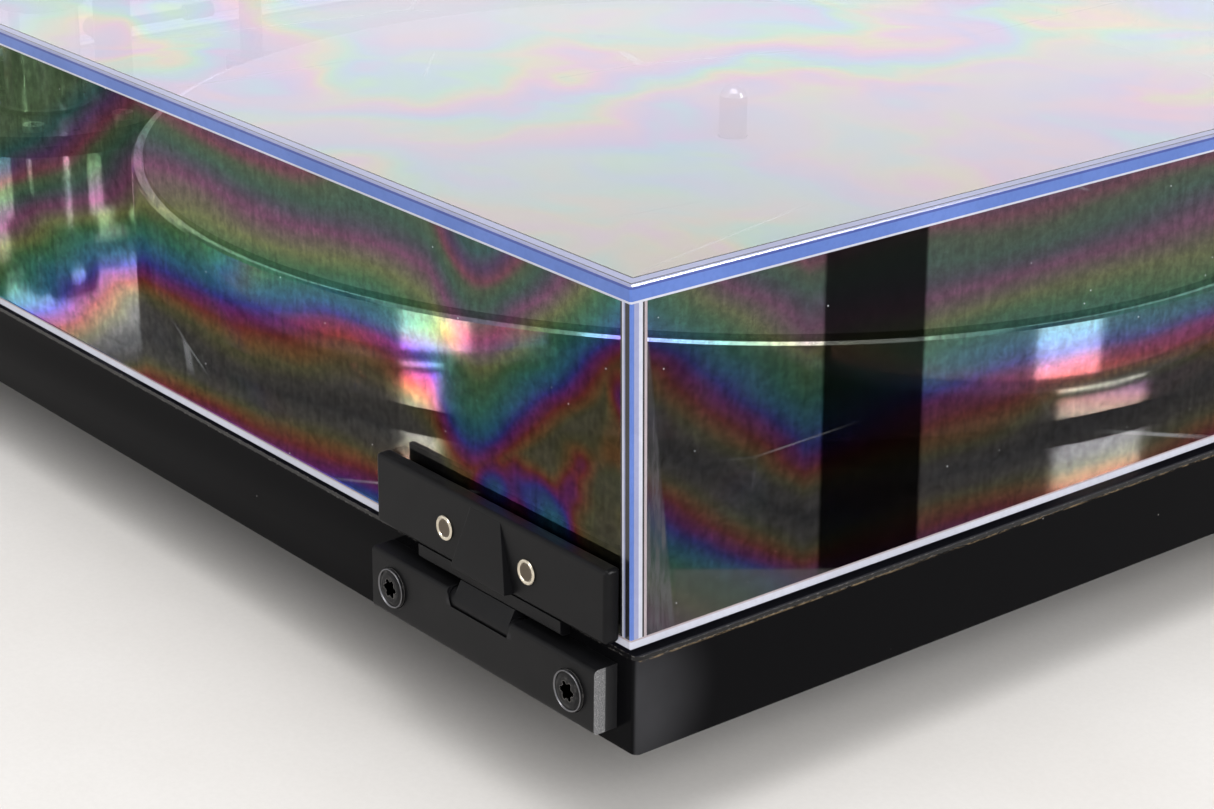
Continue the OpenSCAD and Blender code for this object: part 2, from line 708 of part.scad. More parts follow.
// Small curved lever that a finger lifts the headshell by
module finger_lift() {
  color("silver") at_headshell() translate([headshell_w / 2, -stylus_reach + 4, headshell_z])
    rotate([90, 0, 0]) linear_extrude(4) polygon(concat(
      [[0, 0.4], [6, 0.4]],
      [for (i = [0:6]) let (a = -90 + 60 * i / 6) [6 + 8 * cos(a), 8.4 + 8 * sin(a)]],
      [for (i = [6:-1:0]) let (a = -90 + 60 * i / 6) [6 + 7 * cos(a), 8.4 + 7 * sin(a)]],
      [[0, 1.4]]
    ));
}

module cartridge() {
  color("#343438") at_headshell() difference() {
    translate([0, -cartridge_front, headshell_z]) union() {
      translate([-cartridge_w / 2, 0, -cartridge_body_h])
        cube([cartridge_w, cartridge_len, cartridge_body_h]);
      translate([-cartridge_w / 2 + 3, 18, -cartridge_h * 0.8])
        cube([cartridge_w - 6, cartridge_len - 20, cartridge_h * 0.8 - 1]);
    }
    for (s = [-1, 1]) translate([s * cartridge_screw_spacing / 2, -cartridge_screw_at, headshell_z - 6])
      cylinder(r = cartridge_screw_r + touch, h = 8);
  }
}

module cartridge_screws() {
  color("silver") at_headshell() for (s = [-1, 1])
    translate([s * cartridge_screw_spacing / 2, -cartridge_screw_at, headshell_z + headshell_t])
      pan_screw(cartridge_screw_r, 6, 1.9, 1.4);
}

// Replaceable stylus: grip, cantilever and tip
module stylus() {
  grip_top = headshell_z - cartridge_body_h - touch;
  grip_h = 3.4;
  lever_run = 6.5;
  lever_drop = grip_top - grip_h - stylus_z - 0.4;
  color("indianred") at_headshell() union() {
    translate([-4.5, -stylus_reach - 6, grip_top - grip_h]) cube([9, 14, grip_h]);
    translate([0, -stylus_reach + lever_run, grip_top - grip_h + 0.3])
      rotate([90 + atan2(lever_drop, lever_run), 0, 0])
        cylinder(r = 0.35, h = norm([lever_run, lever_drop]));
    translate([0, -stylus_reach, stylus_z]) cylinder(r1 = 0.12, r2 = 0.4, h = 1.2);
  }
}

module counterweight_stub() {
  color("silver") rod_y([pivot[0], pivot[1] + block_d / 2 - 4 + touch, arm_tube_z - counterweight_drop],
    stub_r, stub_len - block_d / 2 + 4);
}

// Weight with a boss in front that carries the force ring
module counterweight() {
  w = counterweight_t;
  boss = counterweight_from - force_ring_from;
  c = 1;
  color("#2b2b2e") translate([pivot[0], pivot[1] + counterweight_from, arm_tube_z - counterweight_drop])
    rotate([-90, 0, 0]) rotate_extrude() polygon([
      [stub_r + fit, -boss], [ring_boss_r, -boss], [ring_boss_r, 0],
      [counterweight_r - c, 0], [counterweight_r, c], [counterweight_r, w - c],
      [counterweight_r - c, w], [stub_r + fit, w]
    ]);
}

module force_ring() {
  color("gainsboro") translate([pivot[0], pivot[1] + force_ring_from, arm_tube_z - counterweight_drop])
    rotate([-90, 0, 0]) rotate_extrude() polygon([
      [ring_boss_r + fit, 0], [force_ring_r - 0.6, 0], [force_ring_r, 0.6],
      [force_ring_r, force_ring_t], [ring_boss_r + fit, force_ring_t]
    ]);
}

module anti_skate_dial() {
  color("#303033") translate([dial_pos[0], dial_pos[1], arm_base_z]) difference() {
    union() {
      translate([0, 0, apart]) cylinder(r = dial_r, h = dial_h);
      translate([0, 0, -arm_base_t + 1]) cylinder(r = dial_shaft_r, h = arm_base_t);
    }
    for (i = [0:15]) rotate([0, 0, i * 360 / 16]) translate([dial_r, 0, 1])
      cylinder(r = 0.5, h = dial_h + 1);
    translate([-0.5, 1.5, apart + dial_h - 0.6]) cube([1, dial_r, 2]);
  }
}

module cue_tower() {
  color("#2a2a2c") translate([cue_pos[0], cue_pos[1], 0]) difference() {
    union() {
      translate([0, 0, arm_base_z]) cylinder(r = cue_tower_r, h = cue_tower_top_z - arm_base_z);
      translate([0, 0, deck_z + 0.5]) cylinder(r = cue_tower_r - 1.5, h = arm_base_t);
      rod_x([0, 0, lever_z], lever_shaft_r + 1.8, lever_from_tower - apart);
    }
    translate([0, 0, cue_rod_low_z - 0.5]) cylinder(r = cue_rod_r + fit, h = cue_tower_top_z);
    rod_x([cue_tower_r - 1.5, 0, lever_z], lever_shaft_r + fit, lever_from_tower);
  }
}

// Arc that lifts the tube wherever it has swung, on its sliding rod
module cue_platform() {
  color("#1c1c1e") union() {
    translate([pivot[0], pivot[1], cue_top_z - cue_bar_t]) rotate([0, 0, -90 - cue_end_angle])
      rotate_extrude(angle = cue_end_angle - cue_start_angle + cue_overhang_angle)
        translate([cue_radius - cue_bar_w / 2, 0]) square([cue_bar_w, cue_bar_t]);
    translate([cue_pos[0], cue_pos[1], cue_rod_low_z])
      cylinder(r = cue_rod_r, h = cue_top_z - cue_rod_low_z - cue_bar_t / 2);
  }
}

module cue_lever() {
  color("silver") translate([cue_pos[0], cue_pos[1], lever_z]) union() {
    rod_x([cue_tower_r - 1.2, 0, 0], lever_shaft_r, lever_from_tower - cue_tower_r + 2.2);
    rod_x([lever_from_tower, 0, 0], lever_shaft_r + 1.2, lever_hub_w);
    rod_y([lever_from_tower + lever_hub_w / 2, -lever_len, 0], lever_bar_r, lever_len - 1);
    rod_y([lever_from_tower + lever_hub_w / 2, -lever_len - 6, 0], lever_bar_r + 0.9, 9);
  }
}

// Post with a shelf under the tube
module arm_rest() {
  shelf_top = arm_tube_z - arm_tube_r - apart;
  color("#232325") difference() {
    union() {
      translate([rest_pos[0], rest_pos[1], deck_z]) cylinder(r = rest_foot_r, h = rest_foot_t);
      translate([rest_pos[0], rest_pos[1], deck_z]) cylinder(r = rest_post_r, h = rest_top_z - deck_z);
      translate([pivot[0] - arm_tube_r - 1, rest_pos[1] - 3, shelf_top - rest_shelf_t])
        cube([rest_pos[0] - pivot[0] + arm_tube_r + 1, 6, rest_shelf_t]);
    }
    translate([rest_pos[0], rest_pos[1], rest_top_z - 8]) cylinder(r = clip_pin_r + fit, h = 10);
  }
}

// Bar that swings over the tube, stored parallel to it
module arm_clip() {
  color("#3b3b3e") translate([rest_pos[0], rest_pos[1], rest_top_z + 0.2]) union() {
    cylinder(r = clip_hub_r, h = clip_t);
    translate([-2, -clip_len, 0]) cube([4, clip_len, clip_t]);
    translate([0, -clip_len, 0]) cylinder(r = 2.6, h = clip_t);
    translate([0, 0, -7.4]) cylinder(r = clip_pin_r, h = 8);
  }
}

// Knob through the deck that starts the motor and sets its speed
module speed_knob() {
  color("#2c2c2f") translate([knob_pos[0], knob_pos[1], deck_z]) difference() {
    union() {
      translate([0, 0, apart]) cylinder(r = knob_r, h = knob_h - 1);
      translate([0, 0, apart]) cylinder(r = knob_r - 1, h = knob_h);
      translate([0, 0, -plinth_t + 3]) cylinder(r = knob_shaft_r, h = plinth_t);
    }
    for (i = [0:29]) rotate([0, 0, i * 12]) translate([knob_r, 0, 2]) cylinder(r = 0.45, h = knob_h);
    translate([-0.6, 3, knob_h - 0.4]) cube([1.2, knob_r, 2]);
  }
}

// Box that carries the sockets, open inside for the wires
module terminal_box() {
  s = terminal_size;
  wall = terminal_wall;
  color("#1e1e1e") translate([terminal_pos[0], terminal_pos[1], base_z]) difference() {
    translate([-s[0] / 2, -s[1] / 2, -s[2]]) cube(s);
    translate([-s[0] / 2 + wall, -s[1] / 2 + wall, -s[2] + wall])
      cube([s[0] - 2 * wall, s[1] - 2 * wall, s[2]]);
    for (x = phono_x) rod_y([x - terminal_pos[0], s[1] / 2 - wall - 1, -s[2] / 2], phono_r + touch, wall + 2);
    rod_y([inlet_x - terminal_pos[0], s[1] / 2 - wall - 1, -s[2] / 2], inlet_r + 1.2 + touch, wall + 2);
    rod_y([ground_x - terminal_pos[0], s[1] / 2 - wall - 1, -s[2] / 2], ground_stud_r + touch, wall + 2);
  }
}

// Two phono sockets: plated barrel with a flange, and the insulated bore for the plug's pin
module phono_sockets() {
  color("goldenrod") for (x = phono_x) translate([x, terminal_rear_y, terminal_z]) rotate([-90, 0, 0])
    rotate_extrude() polygon([
      [1.65, -6], [phono_r, -6], [phono_r, 0], [phono_flange_r, 0], [phono_flange_r, 1.4],
      [phono_r, 1.4], [phono_r, phono_len + 1.4], [1.65, phono_len + 1.4]
    ]);
}

// Low-voltage inlet: barrel with its centre contact
module power_inlet() {
  color("#0f0f0f") translate([inlet_x, terminal_rear_y, terminal_z]) rotate([-90, 0, 0])
    rotate_extrude() polygon([
      [0, -10], [inlet_r + 1.2, -10], [inlet_r + 1.2, 0], [inlet_r + 2.4, 0], [inlet_r + 2.4, 1.2],
      [inlet_r, 1.2], [inlet_r, -8.5], [1, -8.5], [1, -1], [0, -1]
    ]);
}

module ground_post() {
  color("goldenrod") translate([ground_x, terminal_rear_y, terminal_z]) rotate([-90, 0, 0])
    rotate_extrude() polygon([
      [0, -6], [ground_stud_r, -6], [ground_stud_r, 0], [4, 0], [4, 1.2], [ground_stud_r, 1.2],
      [ground_stud_r, 9], [0, 9]
    ]);
}

module ground_nut() {
  color("goldenrod") translate([ground_x, terminal_rear_y + 2.4, terminal_z]) rotate([-90, 0, 0])
    difference() {
      cylinder(r = 4.2, h = 5);
      translate([0, 0, -1]) cylinder(r = ground_stud_r + fit, h = 8);
      for (i = [0:15]) rotate([0, 0, i * 360 / 16]) translate([4.3, 0, -1]) cylinder(r = 0.4, h = 8);
    }
}

// Cover: five walls, sides and front drafted, rear wall upright for the hinges
module dust_cover() {
  w = cover_wall;
  d = cover_draft;
  outer_low = [cover_left_low, cover_right_low, cover_front_low, rear_y, cover_low_z];
  outer_high = [cover_left_low + d, cover_right_low - d, cover_front_low + d, rear_y, cover_top_z];
  inner_low = [cover_left_low + w, cover_right_low - w, cover_front_low + w, rear_y - w, cover_low_z - 1];
  inner_high = [cover_left_low + w + d, cover_right_low - w - d, cover_front_low + w + d, rear_y - w,
    cover_top_z - w];
  color([0.85, 0.9, 1, 0.3]) difference() {
    tapered_box(outer_low, outer_high);
    tapered_box(inner_low, inner_high);
    for (x = rivet_xs()) rod_y([x, rear_y - w - 1, rivet_z], rivet_r + touch, w + 2);
  }
}

function rivet_xs() = [for (x = HINGE_X, s = [-1, 1]) x + s * rivet_spacing / 2];

// Soft pads under the cover's front wall
module cover_pads() {
  color("gainsboro") for (x = [cover_left_low + 30, cover_right_low - 30 - cover_pad_len])
    translate([x, cover_front_low + 0.4, deck_z + touch])
      cube([cover_pad_len, cover_wall - 0.8, cover_gap - 2 * touch]);
}

// Base: block with soft outer edges, a notch and a round seat for the leaf, and spring pockets
module hinge_base(x) {
  pocket_half = hinge_notch_w / 2 + spring_len + 0.4;
  notch_low_z = hinge_axis_z - 0.8;
  notch_h = hinge_top_z - notch_low_z;
  notch_top = hinge_notch_w / 2;
  notch_low = notch_top - notch_slant;
  color("#1a1a1a") difference() {
    translate([x - hinge_base_w / 2, rear_y, hinge_low_z]) rotate([90, 0, 90]) linear_extrude(hinge_base_w)
      polygon(soft_edge(hinge_base_d, hinge_base_h, edge_r));
    translate([x, rear_y + hinge_base_d + 1, notch_low_z]) rotate([90, 0, 0])
      linear_extrude(hinge_base_d + 2) polygon([
        [-notch_low, 0], [notch_low, 0], [notch_top, notch_h], [notch_top, notch_h + 1],
        [-notch_top, notch_h + 1], [-notch_top, notch_h]
      ]);
    rod_x([x - notch_top, hinge_axis_y, hinge_axis_z], knuckle_r + apart, hinge_notch_w);
    rod_x([x - pocket_half, hinge_axis_y, hinge_axis_z], spring_r + 0.1, 2 * pocket_half);
    rod_x([x - pocket_half - pin_grip, hinge_axis_y, hinge_axis_z], hinge_pin_r + touch,
      2 * (pocket_half + pin_grip));
    for (s = [-1, 1]) {
      screw_x = x + s * hinge_screw_spacing / 2;
      head_seat_y = rear_y + rear_reach - hinge_screw_head_h - touch;
      rod_y([screw_x, rear_y - 1, hinge_screw_z], hinge_screw_r + touch, 20);
      rod_y([screw_x, head_seat_y, hinge_screw_z], hinge_screw_head_r + 0.15, 10);
    }
  }
}

// Leaf: knuckle on the pin, sloping neck, cross bar and the tongue that slides up into the bracket
module hinge_leaf(x) {
  notch_play = hinge_notch_w - 2 * apart;
  neck_w = notch_play - 2 * notch_slant;
  bar_low_z = hinge_top_z + 1.3;
  color("#202020") difference() {
    union() {
      rod_x([x - notch_play / 2, hinge_axis_y, hinge_axis_z], knuckle_r, notch_play);
      translate([x - neck_w / 2, 0, 0]) rotate([90, 0, 90]) linear_extrude(neck_w) polygon([
        [leaf_y, hinge_axis_z],
        [hinge_axis_y + knuckle_r * cos(30), hinge_axis_z + knuckle_r * sin(30)],
        [leaf_y + leaf_bar_t, bar_low_z + 0.3], [leaf_y, bar_low_z + 0.3]
      ]);
      translate([x - leaf_bar_w / 2, 0, 0]) rotate([90, 0, 90]) linear_extrude(leaf_bar_w) polygon([
        [leaf_y, bar_low_z], [leaf_y + leaf_bar_t - 0.6, bar_low_z], [leaf_y + leaf_bar_t, bar_low_z + 0.6],
        [leaf_y + leaf_bar_t, bracket_low_z - 0.2], [leaf_y, bracket_low_z - 0.2]
      ]);
      translate([x - leaf_tongue_w / 2, leaf_y, bar_low_z])
        cube([leaf_tongue_w, leaf_t, leaf_tongue_top_z - bar_low_z]);
    }
    rod_x([x - hinge_notch_w, hinge_axis_y, hinge_axis_z], hinge_pin_r + fit, 2 * hinge_notch_w);
  }
}

module hinge_pins() {
  pin_half = hinge_notch_w / 2 + spring_len + 0.4 + pin_grip - 0.5;
  color("silver") for (x = HINGE_X)
    rod_x([x - pin_half, hinge_axis_y, hinge_axis_z], hinge_pin_r, 2 * pin_half);
}

// Torsion springs, drawn as coils joined by a thin sleeve
module hinge_springs() {
  coil_r = 0.3;
  turns = 5;
  pitch = (spring_len - 2 * coil_r) / (turns - 1);
  mid_r = spring_r - coil_r;
  color("gray") for (x = HINGE_X, s = [-1, 1])
    translate([x + s * (hinge_notch_w / 2 + 0.2 + spring_len / 2), hinge_axis_y, hinge_axis_z])
      rotate([0, 90, 0]) rotate_extrude() union() {
        translate([mid_r - 0.1, -spring_len / 2 + coil_r]) square([0.2, spring_len - 2 * coil_r]);
        for (i = [0:turns - 1]) translate([mid_r, -spring_len / 2 + coil_r + i * pitch])
          circle(r = coil_r * 0.95, $fn = 24);
      }
}

// Bracket riveted to the cover: slotted below for the tongue, with a wedge that rises over the slot
module cover_bracket(x) {
  wedge_low = 17;
  wedge_high = 9;
  wedge_rise = 1.9;
  color("#1a1a1a") difference() {
    union() {
      translate([x - bracket_w / 2, rear_y + touch, bracket_low_z]) rotate([90, 0, 90])
        linear_extrude(bracket_w) polygon(soft_edge(bracket_t - touch, bracket_h, edge_r));
      translate([x, rear_y + bracket_t - 0.5, bracket_low_z + 0.4]) hull() {
        rotate([-90, 0, 0]) linear_extrude(0.5) polygon([
          [-wedge_low / 2, 0], [wedge_low / 2, 0], [wedge_high / 2, 1.4 - bracket_h],
          [-wedge_high / 2, 1.4 - bracket_h]
        ]);
        translate([-wedge_low / 2 + 1, 0, 0.2]) cube([wedge_low - 2, 0.5 + wedge_rise, 0.8]);
      }
    }
    translate([x - leaf_tongue_w / 2 - 0.1, leaf_y - 0.1, bracket_low_z - 1])
      cube([leaf_tongue_w + 0.2, leaf_t + 0.2, leaf_tongue_top_z - bracket_low_z + 1.3]);
    for (s = [-1, 1]) rod_y([x + s * rivet_spacing / 2, rear_y - 1, rivet_z], rivet_r + touch, 10);
  }
}

module backing_plates() {
  color("#151515") for (x = HINGE_X) difference() {
    translate([x - bracket_w / 2 + 2, rear_y - cover_wall - backing_t, bracket_low_z + 1])
      cube([bracket_w - 4, backing_t - touch, bracket_h]);
    for (s = [-1, 1]) rod_y([x + s * rivet_spacing / 2, rear_y - cover_wall - 5, rivet_z],
      rivet_r + touch, 10);
  }
}

// Tubular rivets through bracket, cover and backing plate
module cover_rivets() {
  inner_y = -cover_wall - backing_t - touch;
  outer_y = bracket_t + touch;
  color("tan") for (x = rivet_xs()) translate([x, rear_y, rivet_z]) rotate([-90, 0, 0])
    rotate_extrude() polygon([
      [rivet_bore_r, inner_y - rivet_head_t], [rivet_head_r, inner_y - rivet_head_t],
      [rivet_head_r, inner_y], [rivet_r, inner_y], [rivet_r, outer_y], [rivet_head_r, outer_y],
      [rivet_head_r, outer_y + rivet_head_t * 0.6], [rivet_head_r - 0.4, outer_y + rivet_head_t],
      [rivet_bore_r, outer_y + rivet_head_t]
    ]);
}

// Six-lobe screws that hold the hinge bases to the plinth's rear edge
module hinge_screws() {
  lobe_r = 0.55;
  socket_r = 1.45;
  color("#2a2a2a") for (x = hinge_screw_xs()) translate([x, rear_y + rear_reach, hinge_screw_z])
    rotate([-90, 0, 0]) difference() {
      rotate_extrude() polygon([
        [0, -hinge_screw_head_h], [hinge_screw_head_r, -hinge_screw_head_h], [hinge_screw_head_r, -0.7],
        [hinge_screw_head_r - 0.5, -0.2], [hinge_screw_head_r - 1.3, 0], [0, 0]
      ]);
      translate([0, 0, -1.7]) cylinder(r = socket_r, h = 2);
      for (i = [0:5]) rotate([0, 0, i * 60]) translate([socket_r, 0, -1.7]) cylinder(r = lobe_r, h = 2);
    }
  color("#2a2a2a") for (x = hinge_screw_xs())
    rod_y([x, rear_y - hinge_screw_len + 0.5, hinge_screw_z], hinge_screw_r,
      hinge_screw_len + rear_reach - hinge_screw_head_h - 0.4);
}

plinth_board();
top_laminate();
feet();
foot_screws();
bottom_cover();
cover_screws();
control_board();
motor_body();
motor_plate();
motor_screws();
motor_pulley();
drive_belt();
bearing_housing();
bearing_bush();
thrust_ball();
spindle();
sub_platter();
platter();
platter_mat();
arm_base();
arm_base_screws();
arm_pillar();
arm_yoke();
arm_pivot_pins();
arm_pivot_block();
arm_tube();
headshell();
finger_lift();
cartridge();
cartridge_screws();
stylus();
counterweight_stub();
counterweight();
force_ring();
anti_skate_dial();
cue_tower();
cue_platform();
cue_lever();
arm_rest();
arm_clip();
speed_knob();
terminal_box();
phono_sockets();
power_inlet();
ground_post();
ground_nut();
dust_cover();
cover_pads();
hinge_base(HINGE_X[0]);  // left_hinge_base
hinge_base(HINGE_X[1]);  // right_hinge_base
hinge_leaf(HINGE_X[0]);  // left_hinge_leaf
hinge_leaf(HINGE_X[1]);  // right_hinge_leaf
hinge_pins();
hinge_springs();
cover_bracket(HINGE_X[0]);  // left_cover_bracket
cover_bracket(HINGE_X[1]);  // right_cover_bracket
backing_plates();
cover_rivets();
hinge_screws();
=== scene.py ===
import math

import bmesh
import bpy
from mathutils import Matrix, Vector

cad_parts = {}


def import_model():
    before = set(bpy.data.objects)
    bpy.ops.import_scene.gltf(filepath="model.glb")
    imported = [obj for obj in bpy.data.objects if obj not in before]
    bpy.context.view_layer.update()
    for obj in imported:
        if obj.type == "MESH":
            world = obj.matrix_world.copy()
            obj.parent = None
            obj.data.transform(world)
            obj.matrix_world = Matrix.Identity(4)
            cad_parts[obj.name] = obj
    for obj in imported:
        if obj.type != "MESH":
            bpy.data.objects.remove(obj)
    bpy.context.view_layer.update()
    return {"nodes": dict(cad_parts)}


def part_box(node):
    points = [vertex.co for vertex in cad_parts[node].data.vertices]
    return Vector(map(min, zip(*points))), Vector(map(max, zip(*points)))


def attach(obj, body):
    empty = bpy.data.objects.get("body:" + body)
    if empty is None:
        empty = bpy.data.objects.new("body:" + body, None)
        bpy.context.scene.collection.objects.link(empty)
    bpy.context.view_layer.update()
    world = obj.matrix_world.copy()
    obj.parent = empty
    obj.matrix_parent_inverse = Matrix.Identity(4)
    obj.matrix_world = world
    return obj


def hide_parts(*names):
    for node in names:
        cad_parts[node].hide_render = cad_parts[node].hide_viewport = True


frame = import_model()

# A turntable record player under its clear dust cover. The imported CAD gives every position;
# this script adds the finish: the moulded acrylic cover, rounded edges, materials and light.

MM = 0.001


# ---------------------------------------------------------------------------------------------
# Shader graph helper
# ---------------------------------------------------------------------------------------------

class Shader:
    """A material built node by node. A node's input takes a number, a colour or another socket."""

    def __init__(self, name):
        self.material = bpy.data.materials.new(name)
        self.material.use_nodes = True
        self.tree = self.material.node_tree
        self.tree.nodes.clear()
        self.output = self.tree.nodes.new("ShaderNodeOutputMaterial")

    def feed(self, socket, value):
        if isinstance(value, bpy.types.NodeSocket):
            self.tree.links.new(value, socket)
        elif socket.type == "RGBA":
            socket.default_value = (*value[:3], 1.0)
        else:
            socket.default_value = value

    def node(self, kind, inputs=None, **settings):
        made = self.tree.nodes.new("ShaderNode" + kind)
        for key, value in settings.items():
            setattr(made, key, value)
        for key, value in (inputs or {}).items():
            self.feed(made.inputs[key], value)
        return made

    def math(self, operation, a, b=0.0, clamp=False):
        made = self.node("Math", {0: a, 1: b}, operation=operation, use_clamp=clamp)
        return made.outputs[0]

    def remap(self, value, low, high, to_low=0.0, to_high=1.0, smooth=True):
        kind = "SMOOTHSTEP" if smooth else "LINEAR"
        made = self.node("MapRange", {0: value, 1: low, 2: high, 3: to_low, 4: to_high},
                         interpolation_type=kind, clamp=True)
        return made.outputs[0]

    def mix(self, factor, a, b, blend="MIX"):
        made = self.node("Mix", {0: factor, 6: a, 7: b}, data_type="RGBA", blend_type=blend)
        return made.outputs[2]

    def lerp(self, factor, a, b):
        made = self.node("Mix", {0: factor, 2: a, 3: b}, data_type="FLOAT")
        return made.outputs[0]

    def ramp(self, value, stops):
        made = self.node("ValToRGB", {0: value})
        line = made.color_ramp
        line.elements[0].position = stops[0][0]
        line.elements[0].color = (*stops[0][1], 1.0)
        line.elements[1].position = stops[-1][0]
        line.elements[1].color = (*stops[-1][1], 1.0)
        for place, colour in stops[1:-1]:
            line.elements.new(place).color = (*colour, 1.0)
        return made.outputs[0]

    def place(self, kind="Object", stretch=(1, 1, 1), turn=(0, 0, 0)):
        """Coordinates, in metres for Object, scaled per axis so that a texture is drawn out."""
        source = self.node("TexCoord").outputs[kind]
        if stretch == (1, 1, 1) and turn == (0, 0, 0):
            return source
        made = self.node("Mapping", {"Vector": source, "Scale": stretch, "Rotation": turn})
        return made.outputs[0]

    def split(self, vector):
        return self.node("SeparateXYZ", {0: vector}).outputs

    def noise(self, vector, size, detail=3.0, rough=0.5, warp=0.0):
        """Noise whose features are about size metres across."""
        made = self.node("TexNoise", {"Vector": vector, "Scale": 1.0 / size, "Detail": detail,
                                      "Roughness": rough, "Distortion": warp})
        return made.outputs[0]

    def specks(self, vector, spacing, share):
        """Small dots, about one for each spacing cubed, with share of the spacing as radius."""
        made = self.node("TexVoronoi", {"Vector": vector, "Scale": 1.0 / spacing})
        return self.remap(made.outputs["Distance"], share, share * 0.4)

    def bump(self, height, depth, strength=1.0):
        made = self.node("Bump", {"Height": height, "Distance": depth, "Strength": strength})
        return made.outputs[0]

    def worn_edges(self, radius, low=0.02, high=0.25):
        """1 along a part's hard edges, 0 elsewhere."""
        rounded = self.node("Bevel", {"Radius": radius}, samples=4).outputs[0]
        facing = self.node("NewGeometry").outputs["Normal"]
        dot = self.node("VectorMath", {0: rounded, 1: facing}, operation="DOT_PRODUCT")
        bend = self.math("SUBTRACT", 1.0, dot.outputs["Value"])
        return self.remap(bend, low, high)

    def principled(self, **inputs):
        named = {key.replace("_", " "): value for key, value in inputs.items()}
        return self.node("BsdfPrincipled", named).outputs[0]

    def finish(self, surface):
        self.feed(self.output.inputs["Surface"], surface)
        return self.material


# ---------------------------------------------------------------------------------------------
# Materials
# ---------------------------------------------------------------------------------------------

def gloss_black(name, gloss=0.30, seam=None, rubbed=None, seam_width=0.30 * MM):
    """Black lacquered board: mirror smooth, with dust, fine rubbing and pale worn edges.

    seam is a point on the laminate's joint line, which shows on the left face alone. rubbed is the
    corner round which a grey painted reflection fades out over the left face.
    """
    s = Shader(name)
    where = s.place()
    smear = s.noise(where, 40 * MM, 4.0, 0.6)
    dust = s.specks(where, 7 * MM, 0.035)
    wear = s.math("MULTIPLY", s.worn_edges(0.5 * MM), s.remap(s.noise(where, 1.1 * MM, 4.0, 0.7), 0.45, 0.7))
    colour = s.mix(s.math("MULTIPLY", wear, 0.55), (0.003, 0.003, 0.0035), (0.30, 0.28, 0.26))
    colour = s.mix(s.math("MULTIPLY", dust, 0.5), colour, (0.35, 0.34, 0.33))
    if rubbed is not None:
        # a grey painted reflection on the left face, fading out within 20 mm of the corner
        corner = s.node("CombineXYZ", {0: rubbed.x, 1: rubbed.y, 2: rubbed.z}).outputs[0]
        away = s.node("VectorMath", {0: where, 1: corner}, operation="DISTANCE").outputs["Value"]
        reflection_face = s.remap(s.split(where)[1], rubbed.y - 0.05 * MM, rubbed.y - 0.5 * MM)
        haze = s.math("MULTIPLY", s.remap(away, 20 * MM, 3 * MM), reflection_face)
        haze = s.math("MULTIPLY", haze, s.remap(smear, 0.3, 0.7, 0.6, 1.0))
        colour = s.mix(haze, colour, (0.036, 0.036, 0.039))
    if seam is not None:
        x, _, height = s.split(where)
        gap = s.math("ABSOLUTE", s.math("SUBTRACT", height, seam.z))
        left_face = s.remap(x, seam.x + 0.3 * MM, seam.x + 0.1 * MM)
        line = s.math("MULTIPLY", s.remap(gap, seam_width, seam_width * 0.4), left_face)
        broken = s.remap(s.noise(s.place(stretch=(1, 1, 4)), 3 * MM, 5.0, 0.75), 0.42, 0.62)
        line = s.math("MULTIPLY", line, broken)
        colour = s.mix(s.math("MULTIPLY", line, 0.5), colour, (0.26, 0.19, 0.11))
    rough = s.remap(smear, 0.3, 0.7, 0.05, 0.11)
    rough = s.math("ADD", rough, s.math("MULTIPLY", wear, 0.4))
    ripple = s.bump(s.noise(where, 60 * MM, 2.0), 0.25 * MM, 0.25)
    return s.finish(s.principled(Base_Color=colour, Roughness=rough, Normal=ripple,
                                 Specular_IOR_Level=gloss))


def satin_plastic(name, colour=(0.0035, 0.0035, 0.004), rough=0.38, grain=0.28 * MM):
    """Moulded plastic: fine spark-eroded grain, soft sheen, edges rubbed a little lighter."""
    s = Shader(name)
    where = s.place()
    cloud = s.noise(where, 9 * MM, 3.0, 0.6)
    fine = s.noise(where, grain, 3.0, 0.7)
    edge = s.math("MULTIPLY", s.worn_edges(0.35 * MM), s.remap(cloud, 0.3, 0.7, 0.25, 0.8))
    base = s.mix(s.remap(cloud, 0.35, 0.65, 0.0, 0.3), colour, tuple(c * 1.6 + 0.002 for c in colour))
    base = s.mix(s.math("MULTIPLY", edge, 0.35), base, (0.07, 0.07, 0.075))
    level = s.remap(cloud, 0.3, 0.7, rough - 0.05, rough + 0.05)
    level = s.math("ADD", level, s.math("MULTIPLY", fine, 0.06))
    return s.finish(s.principled(Base_Color=base, Roughness=level, Specular_IOR_Level=0.13,
                                 Normal=s.bump(fine, 0.03 * MM, 0.5)))


def sawn_plastic(name, inner_y):
    """The cut end of a moulding: pale, coarse and glittering beyond inner_y, black within."""
    s = Shader(name)
    where = s.place()
    grit = s.noise(where, 0.22 * MM, 2.0, 0.8)
    spark = s.specks(where, 0.5 * MM, 0.28)
    colour = s.mix(s.remap(grit, 0.35, 0.65), (0.05, 0.05, 0.052), (0.20, 0.20, 0.205))
    colour = s.mix(s.math("MULTIPLY", spark, 0.6), colour, (0.42, 0.42, 0.42))
    outer = s.remap(s.split(where)[1], inner_y, inner_y + 0.1 * MM)
    colour = s.mix(outer, (0.006, 0.006, 0.007), colour)
    return s.finish(s.principled(Base_Color=colour, Roughness=0.55, Normal=s.bump(grit, 0.06 * MM, 0.8)))


